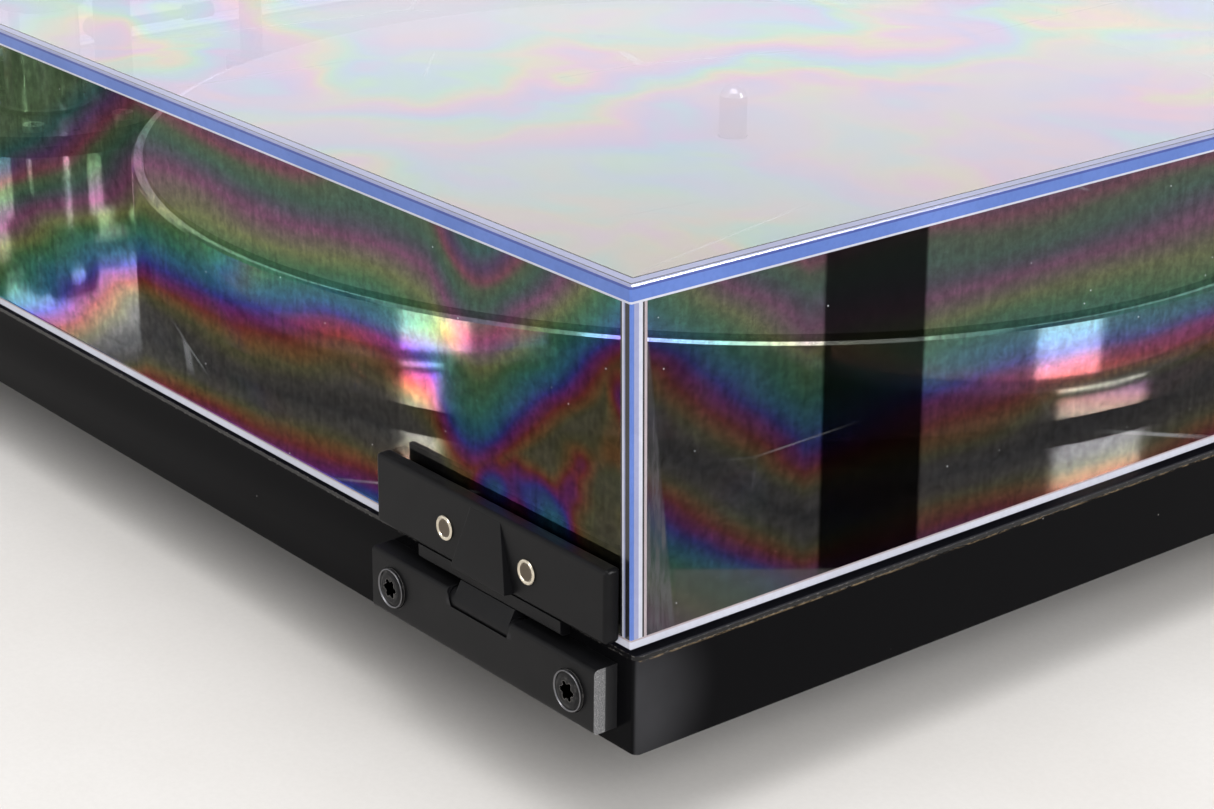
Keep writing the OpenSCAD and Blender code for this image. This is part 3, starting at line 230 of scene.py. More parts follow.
def metal(name, colour, rough=0.2, brushed=(1, 1, 1), streak=0.35 * MM, dark=0.25, tarnish=0.0):
    """Metal with brushing drawn out along the axis whose stretch is small, and cloudy handling."""
    s = Shader(name)
    lines = s.noise(s.place(stretch=brushed), streak, 4.0, 0.65)
    cloud = s.noise(s.place(), 11 * MM, 3.0, 0.55)
    base = s.mix(s.remap(lines, 0.3, 0.7, 0.0, dark), colour, tuple(c * 0.55 for c in colour))
    if tarnish:
        spots = s.remap(s.noise(s.place(), 3 * MM, 5.0, 0.7), 0.5, 0.7)
        base = s.mix(s.math("MULTIPLY", spots, tarnish), base, (0.08, 0.06, 0.045))
    worn = s.math("MULTIPLY", s.worn_edges(0.25 * MM), 0.4)
    base = s.mix(worn, base, tuple(min(1.0, c * 1.5 + 0.05) for c in colour))
    level = s.remap(cloud, 0.3, 0.7, rough * 0.8, rough * 1.25)
    level = s.math("ADD", level, s.math("MULTIPLY", lines, 0.05))
    return s.finish(s.principled(Base_Color=base, Metallic=1.0, Roughness=level,
                                 Normal=s.bump(lines, 0.012 * MM, 0.35)))


def turned_metal(name, colour, centre, rough=0.12):
    """Metal turned on a lathe about a vertical axis: faint rings round the centre, polished."""
    s = Shader(name)
    x, y, z = s.split(s.place())
    across = s.math("POWER", s.math("SUBTRACT", x, centre[0]), 2.0)
    along = s.math("POWER", s.math("SUBTRACT", y, centre[1]), 2.0)
    radius = s.math("SQRT", s.math("ADD", across, along))
    track = s.node("CombineXYZ", {0: radius, 1: z, 2: 0.0}).outputs[0]
    rings = s.noise(track, 0.5 * MM, 3.0, 0.6)
    cloud = s.noise(s.place(), 30 * MM, 4.0, 0.6)
    base = s.mix(s.remap(rings, 0.35, 0.65, 0.0, 0.18), colour, tuple(c * 0.7 for c in colour))
    base = s.mix(s.math("MULTIPLY", s.specks(s.place(), 6 * MM, 0.04), 0.5), base, (0.9, 0.9, 0.9))
    level = s.remap(cloud, 0.3, 0.7, rough * 0.7, rough * 1.2)
    level = s.math("ADD", level, s.math("MULTIPLY", rings, 0.03))
    return s.finish(s.principled(Base_Color=base, Metallic=1.0, Roughness=level,
                                 Normal=s.bump(rings, 0.006 * MM, 0.3)))


def blackened_steel(name):
    """Black oxide screws, rubbed back to grey metal on the high spots; the grey along the edges and in the
    socket is wear and a painted highlight.
    """
    s = Shader(name)
    where = s.place()
    blotch = s.remap(s.noise(where, 1.6 * MM, 4.0, 0.6), 0.52, 0.72)
    edge = s.worn_edges(0.2 * MM)
    # the grey along the edges is wear and also a painted edge highlight
    wear_and_highlight = s.math("MAXIMUM", s.math("MULTIPLY", blotch, 0.12), s.math("MULTIPLY", edge, 0.7))
    base = s.mix(wear_and_highlight, (0.012, 0.012, 0.013), (0.42, 0.40, 0.38))
    level = s.remap(s.noise(where, 0.4 * MM), 0.3, 0.7, 0.28, 0.5)
    return s.finish(s.principled(Base_Color=base, Metallic=0.85, Roughness=level,
                                 Normal=s.bump(s.noise(where, 0.3 * MM, 3.0), 0.02 * MM, 0.5)))


def rubber(name, colour=(0.014, 0.014, 0.014), rough=0.72):
    """Moulded rubber: matt, chalky bloom and lint."""
    s = Shader(name)
    where = s.place()
    bloom = s.noise(where, 6 * MM, 4.0, 0.65)
    base = s.mix(s.remap(bloom, 0.45, 0.75, 0.0, 0.5), colour, tuple(c * 2.4 + 0.01 for c in colour))
    lint = s.specks(where, 2.5 * MM, 0.05)
    base = s.mix(s.math("MULTIPLY", lint, 0.5), base, (0.3, 0.3, 0.3))
    skin = s.bump(s.noise(where, 0.4 * MM), 0.04 * MM, 0.6)
    return s.finish(s.principled(Base_Color=base, Roughness=rough, Normal=skin))


def felt(name):
    """Pressed felt: matted fibres running every way, with lint and a soft nap."""
    s = Shader(name)
    colour = (0.020, 0.020, 0.022)
    one = s.noise(s.place(stretch=(1.0, 0.22, 1.0), turn=(0, 0, 0.5)), 0.35 * MM, 4.0, 0.75, 0.6)
    two = s.noise(s.place(stretch=(0.22, 1.0, 1.0), turn=(0, 0, -0.35)), 0.3 * MM, 4.0, 0.75, 0.6)
    fibres = s.math("MAXIMUM", one, two)
    cloud = s.noise(s.place(), 22 * MM, 4.0, 0.6)
    base = s.mix(s.remap(fibres, 0.45, 0.75), colour, tuple(c * 3.2 for c in colour))
    base = s.mix(s.remap(cloud, 0.4, 0.7, 0.0, 0.35), base, tuple(c * 2.2 for c in colour))
    base = s.mix(s.math("MULTIPLY", s.specks(s.place(), 5 * MM, 0.05), 0.7), base, (0.4, 0.4, 0.38))
    return s.finish(s.principled(Base_Color=base, Roughness=0.9, Sheen_Weight=0.5, Sheen_Roughness=0.5,
                                 Normal=s.bump(fibres, 0.12 * MM, 0.8)))


def circuit_board(name):
    """Green solder mask over copper: traces in a maze, plated holes and a glassy coat."""
    s = Shader(name)
    where = s.place()
    cell = s.node("TexVoronoi", {"Vector": where, "Scale": 1.0 / (4 * MM)}, feature="DISTANCE_TO_EDGE")
    trace = s.remap(cell.outputs[0], 0.10, 0.05)
    holes = s.specks(where, 5 * MM, 0.16)
    base = s.mix(trace, (0.006, 0.075, 0.022), (0.02, 0.20, 0.06))
    base = s.mix(holes, base, (0.75, 0.62, 0.36))
    return s.finish(s.principled(Base_Color=base, Metallic=s.math("MULTIPLY", holes, 0.9), Roughness=0.28,
                                 Coat_Weight=0.4, Normal=s.bump(trace, 0.03 * MM, 0.6)))


def two_tone(name, low, high, split_x):
    """Plastic in one colour left of a plane and another right of it, for a pair of sockets."""
    s = Shader(name)
    x = s.split(s.place())[0]
    side = s.math("GREATER_THAN", x, split_x)
    grain = s.noise(s.place(), 0.6 * MM, 3.0)
    base = s.mix(side, low, high)
    base = s.mix(s.remap(grain, 0.4, 0.7, 0.0, 0.25), base, (0.9, 0.88, 0.85))
    return s.finish(s.principled(Base_Color=base, Roughness=0.35, Normal=s.bump(grain, 0.02 * MM, 0.4)))


# -- the acrylic cover ------------------------------------------------------------------------

FRINGE_SPAN = 1.24       # the stress level at the last of the fringe colours
FRINGES = (              # interference colours of stressed acrylic, by stress level
    (0.00, (0.060, 0.060, 0.062)),
    (0.08, (0.095, 0.090, 0.080)),
    (0.13, (0.130, 0.125, 0.045)),
    (0.17, (0.240, 0.110, 0.020)),
    (0.215, (0.270, 0.030, 0.020)),
    (0.27, (0.200, 0.012, 0.200)),
    (0.315, (0.040, 0.040, 0.380)),
    (0.375, (0.010, 0.170, 0.330)),
    (0.46, (0.020, 0.220, 0.150)),
    (0.54, (0.060, 0.200, 0.060)),
    (0.61, (0.190, 0.220, 0.050)),
    (0.67, (0.190, 0.130, 0.100)),
    (0.73, (0.240, 0.060, 0.160)),
    (0.80, (0.090, 0.080, 0.120)),
    (0.87, (0.040, 0.130, 0.075)),
    (0.93, (0.080, 0.130, 0.050)),
    (0.99, (0.230, 0.040, 0.080)),
    (1.06, (0.110, 0.040, 0.150)),
    (1.14, (0.020, 0.120, 0.110)),
    (1.24, (0.080, 0.150, 0.060)),
)


# The stress map of a wall, in mm along it from the rear left corner (negative along the rear
# wall) and mm of height.
LEVEL_ZERO, STRESS_PER_MM = 13.7, 0.02    # the level bands: the height of no stress, the rate
SIDE_REACH, SIDE_SLOPE = 41.0, -0.0148    # the left wall's turn toward the corner
REAR_RISE, REAR_ZERO, REAR_RATE, REAR_BASE = 0.88, 61.7, 0.022, 0.29    # the rear's diagonals
REAR_BLEND = (38.0, 62.0)    # where they give way to the level bands
SAG_MIDDLE, SAG_WIDTH, SAG_DEPTH = 78.0, 28.0, -0.14    # a dip in those
CLIMB_FROM, CLIMB_RATE = 165.0, 0.010    # their rise toward the far end
# a dark upright band of painted shade and painted dark reflection on the left wall, in mm along it
PAINTED_DARK_BAND = (44.0, 46.0, 70.0, 71.8)    # its soft edges, on the left wall


def greyed(colour, share):
    """A colour moved part of the way to the grey of its own brightness."""
    grey = 0.25 * colour[0] + 0.60 * colour[1] + 0.15 * colour[2] + 0.02
    return tuple(channel + (grey - channel) * share for channel in colour)


def gloss_share(s, least=0.10, most=1.1):
    """How much a clear wall mirrors, from both its surfaces, by the angle it is seen at."""
    facing = s.node("LayerWeight", {"Blend": 0.5}).outputs["Facing"]
    steep = s.math("MULTIPLY", s.math("POWER", facing, 4.0), most)
    return s.math("ADD", steep, least, clamp=True)


def scratches(s, vector, count_size, thin):
    """A few long thin scratches: the edges of big, stretched cells."""
    made = s.node("TexVoronoi", {"Vector": vector, "Scale": 1.0 / count_size}, feature="DISTANCE_TO_EDGE")
    near = s.remap(made.outputs[0], thin, thin * 0.3)
    gaps = s.remap(s.noise(vector, count_size * 0.7, 3.0), 0.52, 0.66)
    return s.math("MULTIPLY", near, gaps)


def fringe_order(s, flat, along, height):
    """Stress over a wall, on the scale of FRINGES."""
    left_side = s.math("GREATER_THAN", along, 0.0)
    far = s.math("ABSOLUTE", along)
    stretched = s.node("CombineXYZ", {0: s.math("MULTIPLY", along, 0.3), 1: height}).outputs[0]
    wander = s.remap(s.noise(stretched, 24.0, 2.0, 0.4), 0.2, 0.8, -0.10, 0.10, smooth=False)
    rise = s.math("MULTIPLY", s.math("SUBTRACT", height, LEVEL_ZERO), STRESS_PER_MM)
    level = s.math("ADD", rise, wander)

    inward = s.math("MAXIMUM", s.math("SUBTRACT", SIDE_REACH, far), 0.0)
    side = s.math("ADD", level, s.math("MULTIPLY", inward, SIDE_SLOPE))

    diagonal = s.math("ADD", height, s.math("MULTIPLY", far, REAR_RISE))
    diagonal = s.math("MULTIPLY", s.math("SUBTRACT", diagonal, REAR_ZERO), REAR_RATE)
    diagonal = s.math("ADD", diagonal, s.math("ADD", wander, REAR_BASE))
    patches = s.remap(s.noise(flat, 26.0, 2.0, 0.4), 0.42, 0.70, 0.11, 0.40)
    corner = s.math("MAXIMUM", diagonal, patches)
    hump = s.math("POWER", s.math("DIVIDE", s.math("SUBTRACT", far, SAG_MIDDLE), SAG_WIDTH), 2.0)
    sag = s.math("MULTIPLY", s.math("POWER", 2.718, s.math("MULTIPLY", hump, -1.0)), SAG_DEPTH)
    outward = s.math("MAXIMUM", s.math("SUBTRACT", far, CLIMB_FROM), 0.0)
    climb = s.math("MULTIPLY", outward, CLIMB_RATE)
    distant = s.math("ADD", level, s.math("ADD", sag, climb))
    rear = s.lerp(s.remap(far, *REAR_BLEND), corner, distant)
    return s.math("ABSOLUTE", s.lerp(left_side, rear, side))


def fringe_colour(s, flat, along, height, band):
    """The colour that the stress gives a wall, with its streaks, mottle, pale wedges and painted shade in
    band.
    """
    order = fringe_order(s, flat, along, height)
    left_side = s.math("GREATER_THAN", along, 0.0)
    stops = [(place / FRINGE_SPAN, greyed(colour, 0.20)) for place, colour in FRINGES]
    hue = s.ramp(s.math("DIVIDE", order, FRINGE_SPAN), stops)
    hue = s.mix(s.lerp(left_side, 0.03, 0.24), hue, (0.085, 0.085, 0.10))

    upright = s.node("CombineXYZ", {0: along, 1: s.math("MULTIPLY", height, 0.15)}).outputs[0]
    streaks = s.remap(s.noise(upright, 1.8, 3.0, 0.7), 0.3, 0.7, 0.86, 1.12)
    mottle = s.remap(s.noise(flat, 2.6, 5.0, 0.75), 0.3, 0.7, 0.72, 1.3)
    # band darkens the colour to 0.07 of itself: painted shade
    shade = s.math("MULTIPLY", s.math("MULTIPLY", streaks, mottle), s.remap(band, 0.0, 1.0, 1.0, 0.07))
    grey = s.node("CombineColor", {0: shade, 1: shade, 2: shade}).outputs[0]
    hue = s.mix(1.0, hue, grey, blend="MULTIPLY")

    # a pale wedge beside the corner that widens downward, and a low one along the bottom edge
    reach = s.math("MULTIPLY", s.math("SUBTRACT", 68.0, height), 0.115)
    beside = s.remap(s.math("SUBTRACT", along, reach), 3.0, 2.2)
    pale = s.math("MULTIPLY", s.math("MULTIPLY", beside, left_side), s.remap(streaks, 0.9, 1.1, 0.35, 0.9))
    hue = s.mix(pale, hue, (0.30, 0.30, 0.33))
    ledge = s.math("SUBTRACT", 16.2, s.math("MULTIPLY", along, 0.28))
    below = s.remap(height, ledge, s.math("SUBTRACT", ledge, 1.0))
    low_wedge = s.math("MULTIPLY", below, s.remap(along, 8.0, 11.0))
    return s.mix(s.math("MULTIPLY", low_wedge, 0.55), hue, (0.24, 0.23, 0.22))


def clear_wall(name):
    """A side wall: clear acrylic whose moulding stress shows as rainbow fringes, with dust and a dark band
    of painted shade on the left wall.
    """
    s = Shader(name)
    flat = s.node("UVMap", uv_map="Wall").outputs[0]
    along, height, _ = s.split(flat)
    band = s.math("MULTIPLY", s.remap(along, *PAINTED_DARK_BAND[:2]), s.remap(along, PAINTED_DARK_BAND[3], PAINTED_DARK_BAND[2]))
    hue = fringe_colour(s, flat, along, height, band)
    mirror_tint = s.mix(1.0, hue, (2.7, 2.7, 2.7), blend="MULTIPLY")
    mirror = s.node("BsdfGlossy", {"Color": mirror_tint, "Roughness": 0.015}).outputs[0]
    tint = s.mix(1.0, hue, (2.5, 2.5, 2.5), blend="MULTIPLY")
    # and lets less light through in the band: painted shade over the inside seen through
    tint = s.mix(s.remap(band, 0.0, 1.0, 0.20, 0.05), tint, (0.9, 0.9, 0.9))
    through = s.node("BsdfTransparent", {"Color": tint}).outputs[0]
    pane = s.node("MixShader", {0: gloss_share(s), 1: through, 2: mirror}).outputs[0]
    drawn_out = s.node("Mapping", {"Vector": flat, "Scale": (0.35, 1.0, 1.0)}).outputs[0]
    marks = s.math("MAXIMUM", s.math("MULTIPLY", s.specks(flat, 5.5, 0.035), 0.75),
                   s.math("MULTIPLY", scratches(s, drawn_out, 42.0, 0.006), 0.20))
    haze = s.node("BsdfDiffuse", {"Color": (0.72, 0.74, 0.78)}).outputs[0]
    return s.finish(s.node("MixShader", {0: marks, 1: pane, 2: haze}).outputs[0])


PASTELS = (
    (0.00, (1.00, 0.78, 0.90)),
    (0.18, (0.96, 0.90, 0.76)),
    (0.36, (0.76, 0.96, 0.84)),
    (0.54, (0.74, 0.88, 1.00)),
    (0.74, (0.86, 0.78, 1.00)),
    (1.00, (1.00, 0.78, 0.90)),
)


def clear_top(name):
    """The top panel: clear acrylic with pale pastel fringes and hairline scratches."""
    s = Shader(name)
    flat = s.node("UVMap", uv_map="Wall").outputs[0]
    x, y, _ = s.split(flat)
    bent = s.noise(flat, 95.0, 3.0, 0.45, 0.4)
    fine = s.noise(flat, 34.0, 2.0, 0.5, 0.8)
    phase = s.math("ADD", s.math("MULTIPLY", bent, 5.0), s.math("MULTIPLY", fine, 1.2))
    phase = s.math("ADD", phase, s.math("MULTIPLY", s.math("ADD", x, s.math("MULTIPLY", y, -0.6)), 0.010))
    pastel = s.ramp(s.math("FRACT", phase), PASTELS)
    calm = s.remap(s.noise(flat, 70.0, 2.0), 0.35, 0.65, 0.25, 1.0)
    pastel = s.mix(calm, (0.88, 0.87, 0.93), pastel)
    mirror = s.node("BsdfGlossy", {"Color": pastel, "Roughness": 0.02}).outputs[0]
    through = s.node("BsdfTransparent", {"Color": s.mix(0.6, pastel, (0.93, 0.94, 0.95))}).outputs[0]
    pane = s.node("MixShader", {0: gloss_share(s, 0.10, 1.5), 1: through, 2: mirror}).outputs[0]
    slanted = {"Vector": flat, "Scale": (1.0, 0.3, 1.0), "Rotation": (0, 0, 0.6)}
    slanted = s.node("Mapping", slanted).outputs[0]
    marks = s.math("MAXIMUM", s.math("MULTIPLY", s.specks(flat, 11.0, 0.02), 0.6),
                   s.math("MULTIPLY", scratches(s, slanted, 55.0, 0.004), 0.3))
    haze = s.node("BsdfDiffuse", {"Color": (0.62, 0.64, 0.68)}).outputs[0]
    return s.finish(s.node("MixShader", {0: marks, 1: pane, 2: haze}).outputs[0])


def clear_inside(name):
    """The inner skin of the cover: untinted, with a weak reflection and a little dust."""
    s = Shader(name)
    through = s.node("BsdfTransparent", {"Color": (0.97, 0.975, 0.98)}).outputs[0]
    mirror = s.node("BsdfGlossy", {"Color": (1.0, 1.0, 1.0), "Roughness": 0.02}).outputs[0]
    pane = s.node("MixShader", {0: gloss_share(s, 0.015, 0.10), 1: through, 2: mirror}).outputs[0]
    lint = s.math("MULTIPLY", s.specks(s.place(), 9 * MM, 0.03), 0.35)
    haze = s.node("BsdfDiffuse", {"Color": (0.6, 0.62, 0.65)}).outputs[0]
    return s.finish(s.node("MixShader", {0: lint, 1: pane, 2: haze}).outputs[0])


def painted_light_and_print(name, colour, glow, rough=0.18):
    """A flat colour with a painted glow (emission) in that colour, for the painted lines of light along the
    cover's moulded edges; with no glow it serves as print.
    """
    s = Shader(name)
    run = s.noise(s.place(), 45 * MM, 4.0, 0.6)
    fine = s.noise(s.place(), 1.2 * MM, 3.0, 0.6)
    bright = tuple(min(1.0, c * 1.35 + 0.05) for c in colour)
    tone = s.mix(s.remap(run, 0.35, 0.65, 0.0, 0.3), colour, bright)
    tone = s.mix(s.remap(fine, 0.4, 0.7, 0.0, 0.18), tone, tuple(c * 0.7 for c in colour))
    return s.finish(s.principled(Base_Color=tone, Roughness=rough, Emission_Color=tone,
                                 Emission_Strength=glow))


# ---------------------------------------------------------------------------------------------
# Mesh helpers
# ---------------------------------------------------------------------------------------------

def new_piece(name, mesh, body, slot, *nodes):
    """Links a mesh as a piece that rides on a body, in place of CAD nodes if any are named."""
    piece = bpy.data.objects.new(name, mesh)
    bpy.context.collection.objects.link(piece)
    if nodes:
        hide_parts(*nodes)
    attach(piece, body)
    return piece


def round_edges(piece, width, segments, angle):
    """Rounds a piece's hard edges and keeps its flat faces flat."""
    rounding = piece.modifiers.new("rounding", "BEVEL")
    rounding.width = width
    rounding.segments = segments
    rounding.limit_method = "ANGLE"
    rounding.angle_limit = math.radians(angle)
    rounding.harden_normals = True
    rounding.use_clamp_overlap = True
    return piece


def soften(node, body, slot, material, width=0.5 * MM, segments=3, angle=34.0, repaint=None):
    """A copy of a CAD node with its hard edges rounded. repaint is (material, face test)."""
    mesh = frame["nodes"][node].data.copy()
    mesh.materials.clear()
    mesh.materials.append(material)
    work = bmesh.new()
    work.from_mesh(mesh)
    bmesh.ops.remove_doubles(work, verts=work.verts, dist=2e-6)
    bmesh.ops.dissolve_limit(work, angle_limit=math.radians(0.8), verts=work.verts, edges=work.edges)
    for face in work.faces:
        face.smooth = True
        face.material_index = 0
    if repaint:
        mesh.materials.append(repaint[0])
        for face in work.faces:
            if repaint[1](face):
                face.material_index = 1
    work.to_mesh(mesh)
    work.free()
    for name in ("custom_normal", "sharp_face", "sharp_edge"):
        if name in mesh.attributes:
            mesh.attributes.remove(mesh.attributes[name])
    piece = new_piece(node + "_finish", mesh, body, slot, node)
    return round_edges(piece, width, segments, angle)


def hull_piece(name, points, body, slot, material, width, segments, *nodes):
    """The convex solid round some points, with rounded edges."""
    work = bmesh.new()
    bmesh.ops.convex_hull(work, input=[work.verts.new(point) for point in points])
    bmesh.ops.dissolve_limit(work, angle_limit=math.radians(0.5), verts=work.verts, edges=work.edges)
    bmesh.ops.recalc_face_normals(work, faces=work.faces)
    for face in work.faces:
        face.smooth = True
    mesh = bpy.data.meshes.new(name)
    work.to_mesh(mesh)
    work.free()
    mesh.materials.append(material)
    return round_edges(new_piece(name, mesh, body, slot, *nodes), width, segments, 20.0)


def turned(name, profile, centres, body, slot, material, *nodes):
    """Copies of a turned shape. The profile is (radius, depth along +Y); centres are (x, z)."""
    around = 32
    work = bmesh.new()
    for x, z in centres:
        rings = []
        for radius, y in profile:
            ring = []
            for i in range(around):
                angle = 2 * math.pi * i / around
                ring.append(work.verts.new((x + radius * math.cos(angle), y, z + radius * math.sin(angle))))
            rings.append(ring)
        for first, second in zip(rings, rings[1:]):
            for i in range(around):
                j = (i + 1) % around
                work.faces.new((first[i], first[j], second[j], second[i])).smooth = True
        for ring in (rings[0], rings[-1]):
            work.faces.new(ring)
    bmesh.ops.recalc_face_normals(work, faces=work.faces)
    mesh = bpy.data.meshes.new(name)
    work.to_mesh(mesh)
    work.free()
    mesh.materials.append(material)
    return new_piece(name, mesh, body, slot, *nodes)


def tick_ring(name, body, slot, material, centre, axis, radius, length, width, depth, angles):
    """Short bars standing on a round face or rim, pointing away from the axis."""
    forward = Vector(axis).normalized()
    first = forward.orthogonal().normalized()
    second = forward.cross(first)
    work = bmesh.new()
    for degrees in angles:
        turn = math.radians(degrees)
        out = first * math.cos(turn) + second * math.sin(turn)
        across = forward.cross(out)
        corners = []
        for along_, side, up in ((0, -1, 0), (0, 1, 0), (1, 1, 0), (1, -1, 0),
                                 (0, -1, 1), (0, 1, 1), (1, 1, 1), (1, -1, 1)):
            corners.append(work.verts.new(centre + out * (radius + along_ * length)
                                          + across * (side * width / 2) + forward * (up * depth)))
        for loop in ((3, 2, 1, 0), (4, 5, 6, 7), (0, 1, 5, 4), (1, 2, 6, 5), (2, 3, 7, 6), (3, 0, 4, 7)):
            work.faces.new([corners[i] for i in loop])
    mesh = bpy.data.meshes.new(name)
    work.to_mesh(mesh)
    work.free()
    mesh.materials.append(material)
    return new_piece(name, mesh, body, slot)


# ---------------------------------------------------------------------------------------------
# The dust cover
# ---------------------------------------------------------------------------------------------

COVER_WALL = 3.0 * MM
COVER_DRAFT = 1.3 * MM
# widths of the strips up each corner of the cover, and the painted lines of light and shade they carry on
# the side and end walls
COVER_STRIPS = tuple(v * MM for v in (0.3, 0.8, 1.45, 1.85, 2.3, 2.7, 3.1, 3.7, 13.0))
SIDE_STRIPS = ("blue", "pale", "pale", "white", "white", "dark", "rose", "wall", "wall")
END_STRIPS = ("dark", "dark", "pale", "white", "dark", "wall", "wall", "wall", "wall")


def cover_materials():
    # the clear skins, and flat colours with painted glow for the painted lines of light and shade along the
    # moulded edges
    return {
        "wall": clear_wall("cover wall"),
        "top": clear_top("cover top"),
        "inside": clear_inside("cover inside"),
        "white": painted_light_and_print("cover bright line", (0.40, 0.41, 0.48), 0.13),
        "pale": painted_light_and_print("cover pale edge", (0.21, 0.225, 0.36), 0.07),
        "rose": painted_light_and_print("cover rose line", (0.30, 0.25, 0.27), 0.06),
        "blue": painted_light_and_print("cover blue edge", (0.060, 0.120, 0.37), 0.15),
        "deep": painted_light_and_print("cover deep blue line", (0.030, 0.055, 0.24), 0.12),
        "dark": painted_light_and_print("cover dark line", (0.008, 0.008, 0.010), 0.0),
    }


def cover_ring(low, high, height, inset):
    """Points round the cover at one height, drawn in by inset, with a tag (wall, distance)."""
    rise = (height - low.z) / (high.z - low.z)
    draft = COVER_DRAFT * rise
    half = high.x - draft - inset
    front, rear = low.y + draft + inset, high.y - inset
    corners = [Vector((-half, rear, height)), Vector((-half, front, height)),
               Vector((half, front, height)), Vector((half, rear, height))]
    points, tags = [], []
    for wall in range(4):
        start, end = corners[wall], corners[(wall + 1) % 4]
        length = (end - start).length
        steps = [max(step - inset, 0.02 * MM * (rank + 1)) for rank, step in enumerate(COVER_STRIPS)]
        for distance in steps + [length - step for step in reversed(steps)]:
            points.append(start + (end - start) * (distance / length))
            tags.append((wall, distance + inset, length + 2 * inset))
    return points, tags


def dust_cover():
    """Outer skin in strips, so that each moulded edge has its own painted line of light and shade; inner
    skin; rim.
    """
    low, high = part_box("dust_cover")
    look = cover_materials()
    order = list(look)
    mesh = bpy.data.meshes.new("dust_cover_acrylic")
    for key in order:
        mesh.materials.append(look[key])
    work = bmesh.new()
    flat = work.loops.layers.uv.new("Wall")
    rows = ((0.0, 0.2), (0.2, 0.0), (1.55, 0.0), (1.9, 0.0), (-3.45, 0.0), (-3.05, 0.0), (-0.9, 0.0),
            (-0.4, 0.0), (-0.12, 0.12), (0.0, 0.4), (0.0, 0.75), (0.0, 2.6), (0.0, 3.0))
    # the colour of each band between rows: painted lines of light and shade round the rim and the top edge,
    # None for the corner strips
    bands = ("white", "white", "rose", None, "white", "blue", "deep", "pale", "pale", "dark", "pale", "dark")
    levels = []
    for rank, (offset, inset) in enumerate(rows):
        top_side = offset < 0 or rank >= 8
        height = (high.z if top_side else low.z) + offset * MM
        points, tags = cover_ring(low, high, height, inset * MM)
        levels.append(([work.verts.new(p) for p in points], tags))
    per_wall = 2 * len(COVER_STRIPS)
    count = len(levels[0][0])

    def perimeter(tag):
        wall, distance, _ = tag
        lengths = (high.y - low.y, 2 * high.x, high.y - low.y, 2 * high.x)
        if wall == 3:
            return distance - lengths[3]
        return sum(lengths[:wall]) + distance

    def add(loop, key, tags=None):
        face = work.faces.new(loop)
        face.material_index = order.index(key)
        for corner in face.loops:
            spot = corner.vert.co
            if tags is None:
                corner[flat].uv = ((spot.x + high.x) / MM, (spot.y - low.y) / MM)
            else:
                corner[flat].uv = (perimeter(tags[corner.vert]) / MM, (spot.z - low.z) / MM)
        return face

    for rank, band in enumerate(bands):
        (lower, tags_low), (upper, tags_high) = levels[rank], levels[rank + 1]
        for i in range(count):
            j = (i + 1) % count
            wall, column = divmod(i, per_wall)
            if column == per_wall - 1:
                key = "blue" if band is None else band
            else:
                strip = min(column, per_wall - 2 - column)
                names = SIDE_STRIPS if wall in (0, 2) else END_STRIPS
                key = names[strip] if band is None else band
            tags = {lower[i]: tags_low[i], upper[i]: tags_high[i]}
            tags[lower[j]] = tags_low[j] if j else (3, tags_low[i][2], 0)
            tags[upper[j]] = tags_high[j] if j else (3, tags_high[i][2], 0)
            if column == per_wall - 1 and j:
                tags[lower[j]] = tags_low[i]
                tags[upper[j]] = tags_high[i]
            add((lower[i], lower[j], upper[j], upper[i]), key, tags if rank < 8 else None)
    add(levels[-1][0], "top")

    rim_points, _ = cover_ring(low, high, low.z, COVER_WALL)
    rim = [work.verts.new(p) for p in rim_points]
    roof_points, _ = cover_ring(low, high, high.z - COVER_WALL, COVER_WALL)
    roof = [work.verts.new(p) for p in roof_points]
    outer = levels[0][0]
    for i in range(count):
        j = (i + 1) % count
        add((outer[j], outer[i], rim[i], rim[j]), "pale")
        add((rim[j], rim[i], roof[i], roof[j]), "inside")
    add(list(reversed(roof)), "inside")
    work.to_mesh(mesh)
    work.free()
    return new_piece("dust_cover_acrylic", mesh, "cover", "clear", "dust_cover")


# ---------------------------------------------------------------------------------------------
# Everything else
# ---------------------------------------------------------------------------------------------

def paint(material, *nodes):
    """Gives CAD nodes a finished material in place of the plain one they came with."""
    for name in nodes:
        for slot in frame["nodes"][name].material_slots:
            slot.material = material


def centre_of(node):
    low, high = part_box(node)
    return (low + high) / 2


SCREW_SPACING = 54.8 * MM
RIVET_SPACING = 25.0 * MM
WEDGE_RISE = 1.9 * MM
WEDGE_LOW, WEDGE_HIGH = 17.0 * MM, 9.0 * MM


def hinge_spots(spacing, z):
    """The two fixing points of each hinge, as (x, z)."""
    middles = [centre_of(side + "_cover_bracket").x for side in ("left", "right")]
    return [(middle + sign * spacing / 2, z) for middle in middles for sign in (-1, 1)]


def cover_bracket(side, plastic):
    """A rounded plate with the long wedge that rises toward its lower edge."""
    low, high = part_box(side + "_cover_bracket")
    face = high.y - WEDGE_RISE
    plate = [Vector((x, y, z)) for x in (low.x, high.x) for y in (low.y, face) for z in (low.z, high.z)]
    hull_piece(side + "_bracket_plate", plate, "cover", "hinge_plastic", plastic, 0.9 * MM, 4,
               side + "_cover_bracket")
    middle, foot, top = (low.x + high.x) / 2, low.z + 0.4 * MM, high.z - 1.0 * MM
    sunk = face - 0.4 * MM
    wedge = [Vector((middle + sign * WEDGE_LOW / 2, sunk, foot)) for sign in (-1, 1)]
    wedge += [Vector((middle + sign * WEDGE_HIGH / 2, sunk, top)) for sign in (-1, 1)]
    wedge += [Vector((middle + sign * WEDGE_HIGH / 2, face + 0.05 * MM, top)) for sign in (-1, 1)]
    for z in (foot, foot + 0.9 * MM):
        wedge += [Vector((middle + sign * (WEDGE_LOW / 2 - 0.4 * MM), high.y, z)) for sign in (-1, 1)]
    hull_piece(side + "_bracket_wedge", wedge, "cover", "hinge_plastic", plastic, 0.22 * MM, 2)


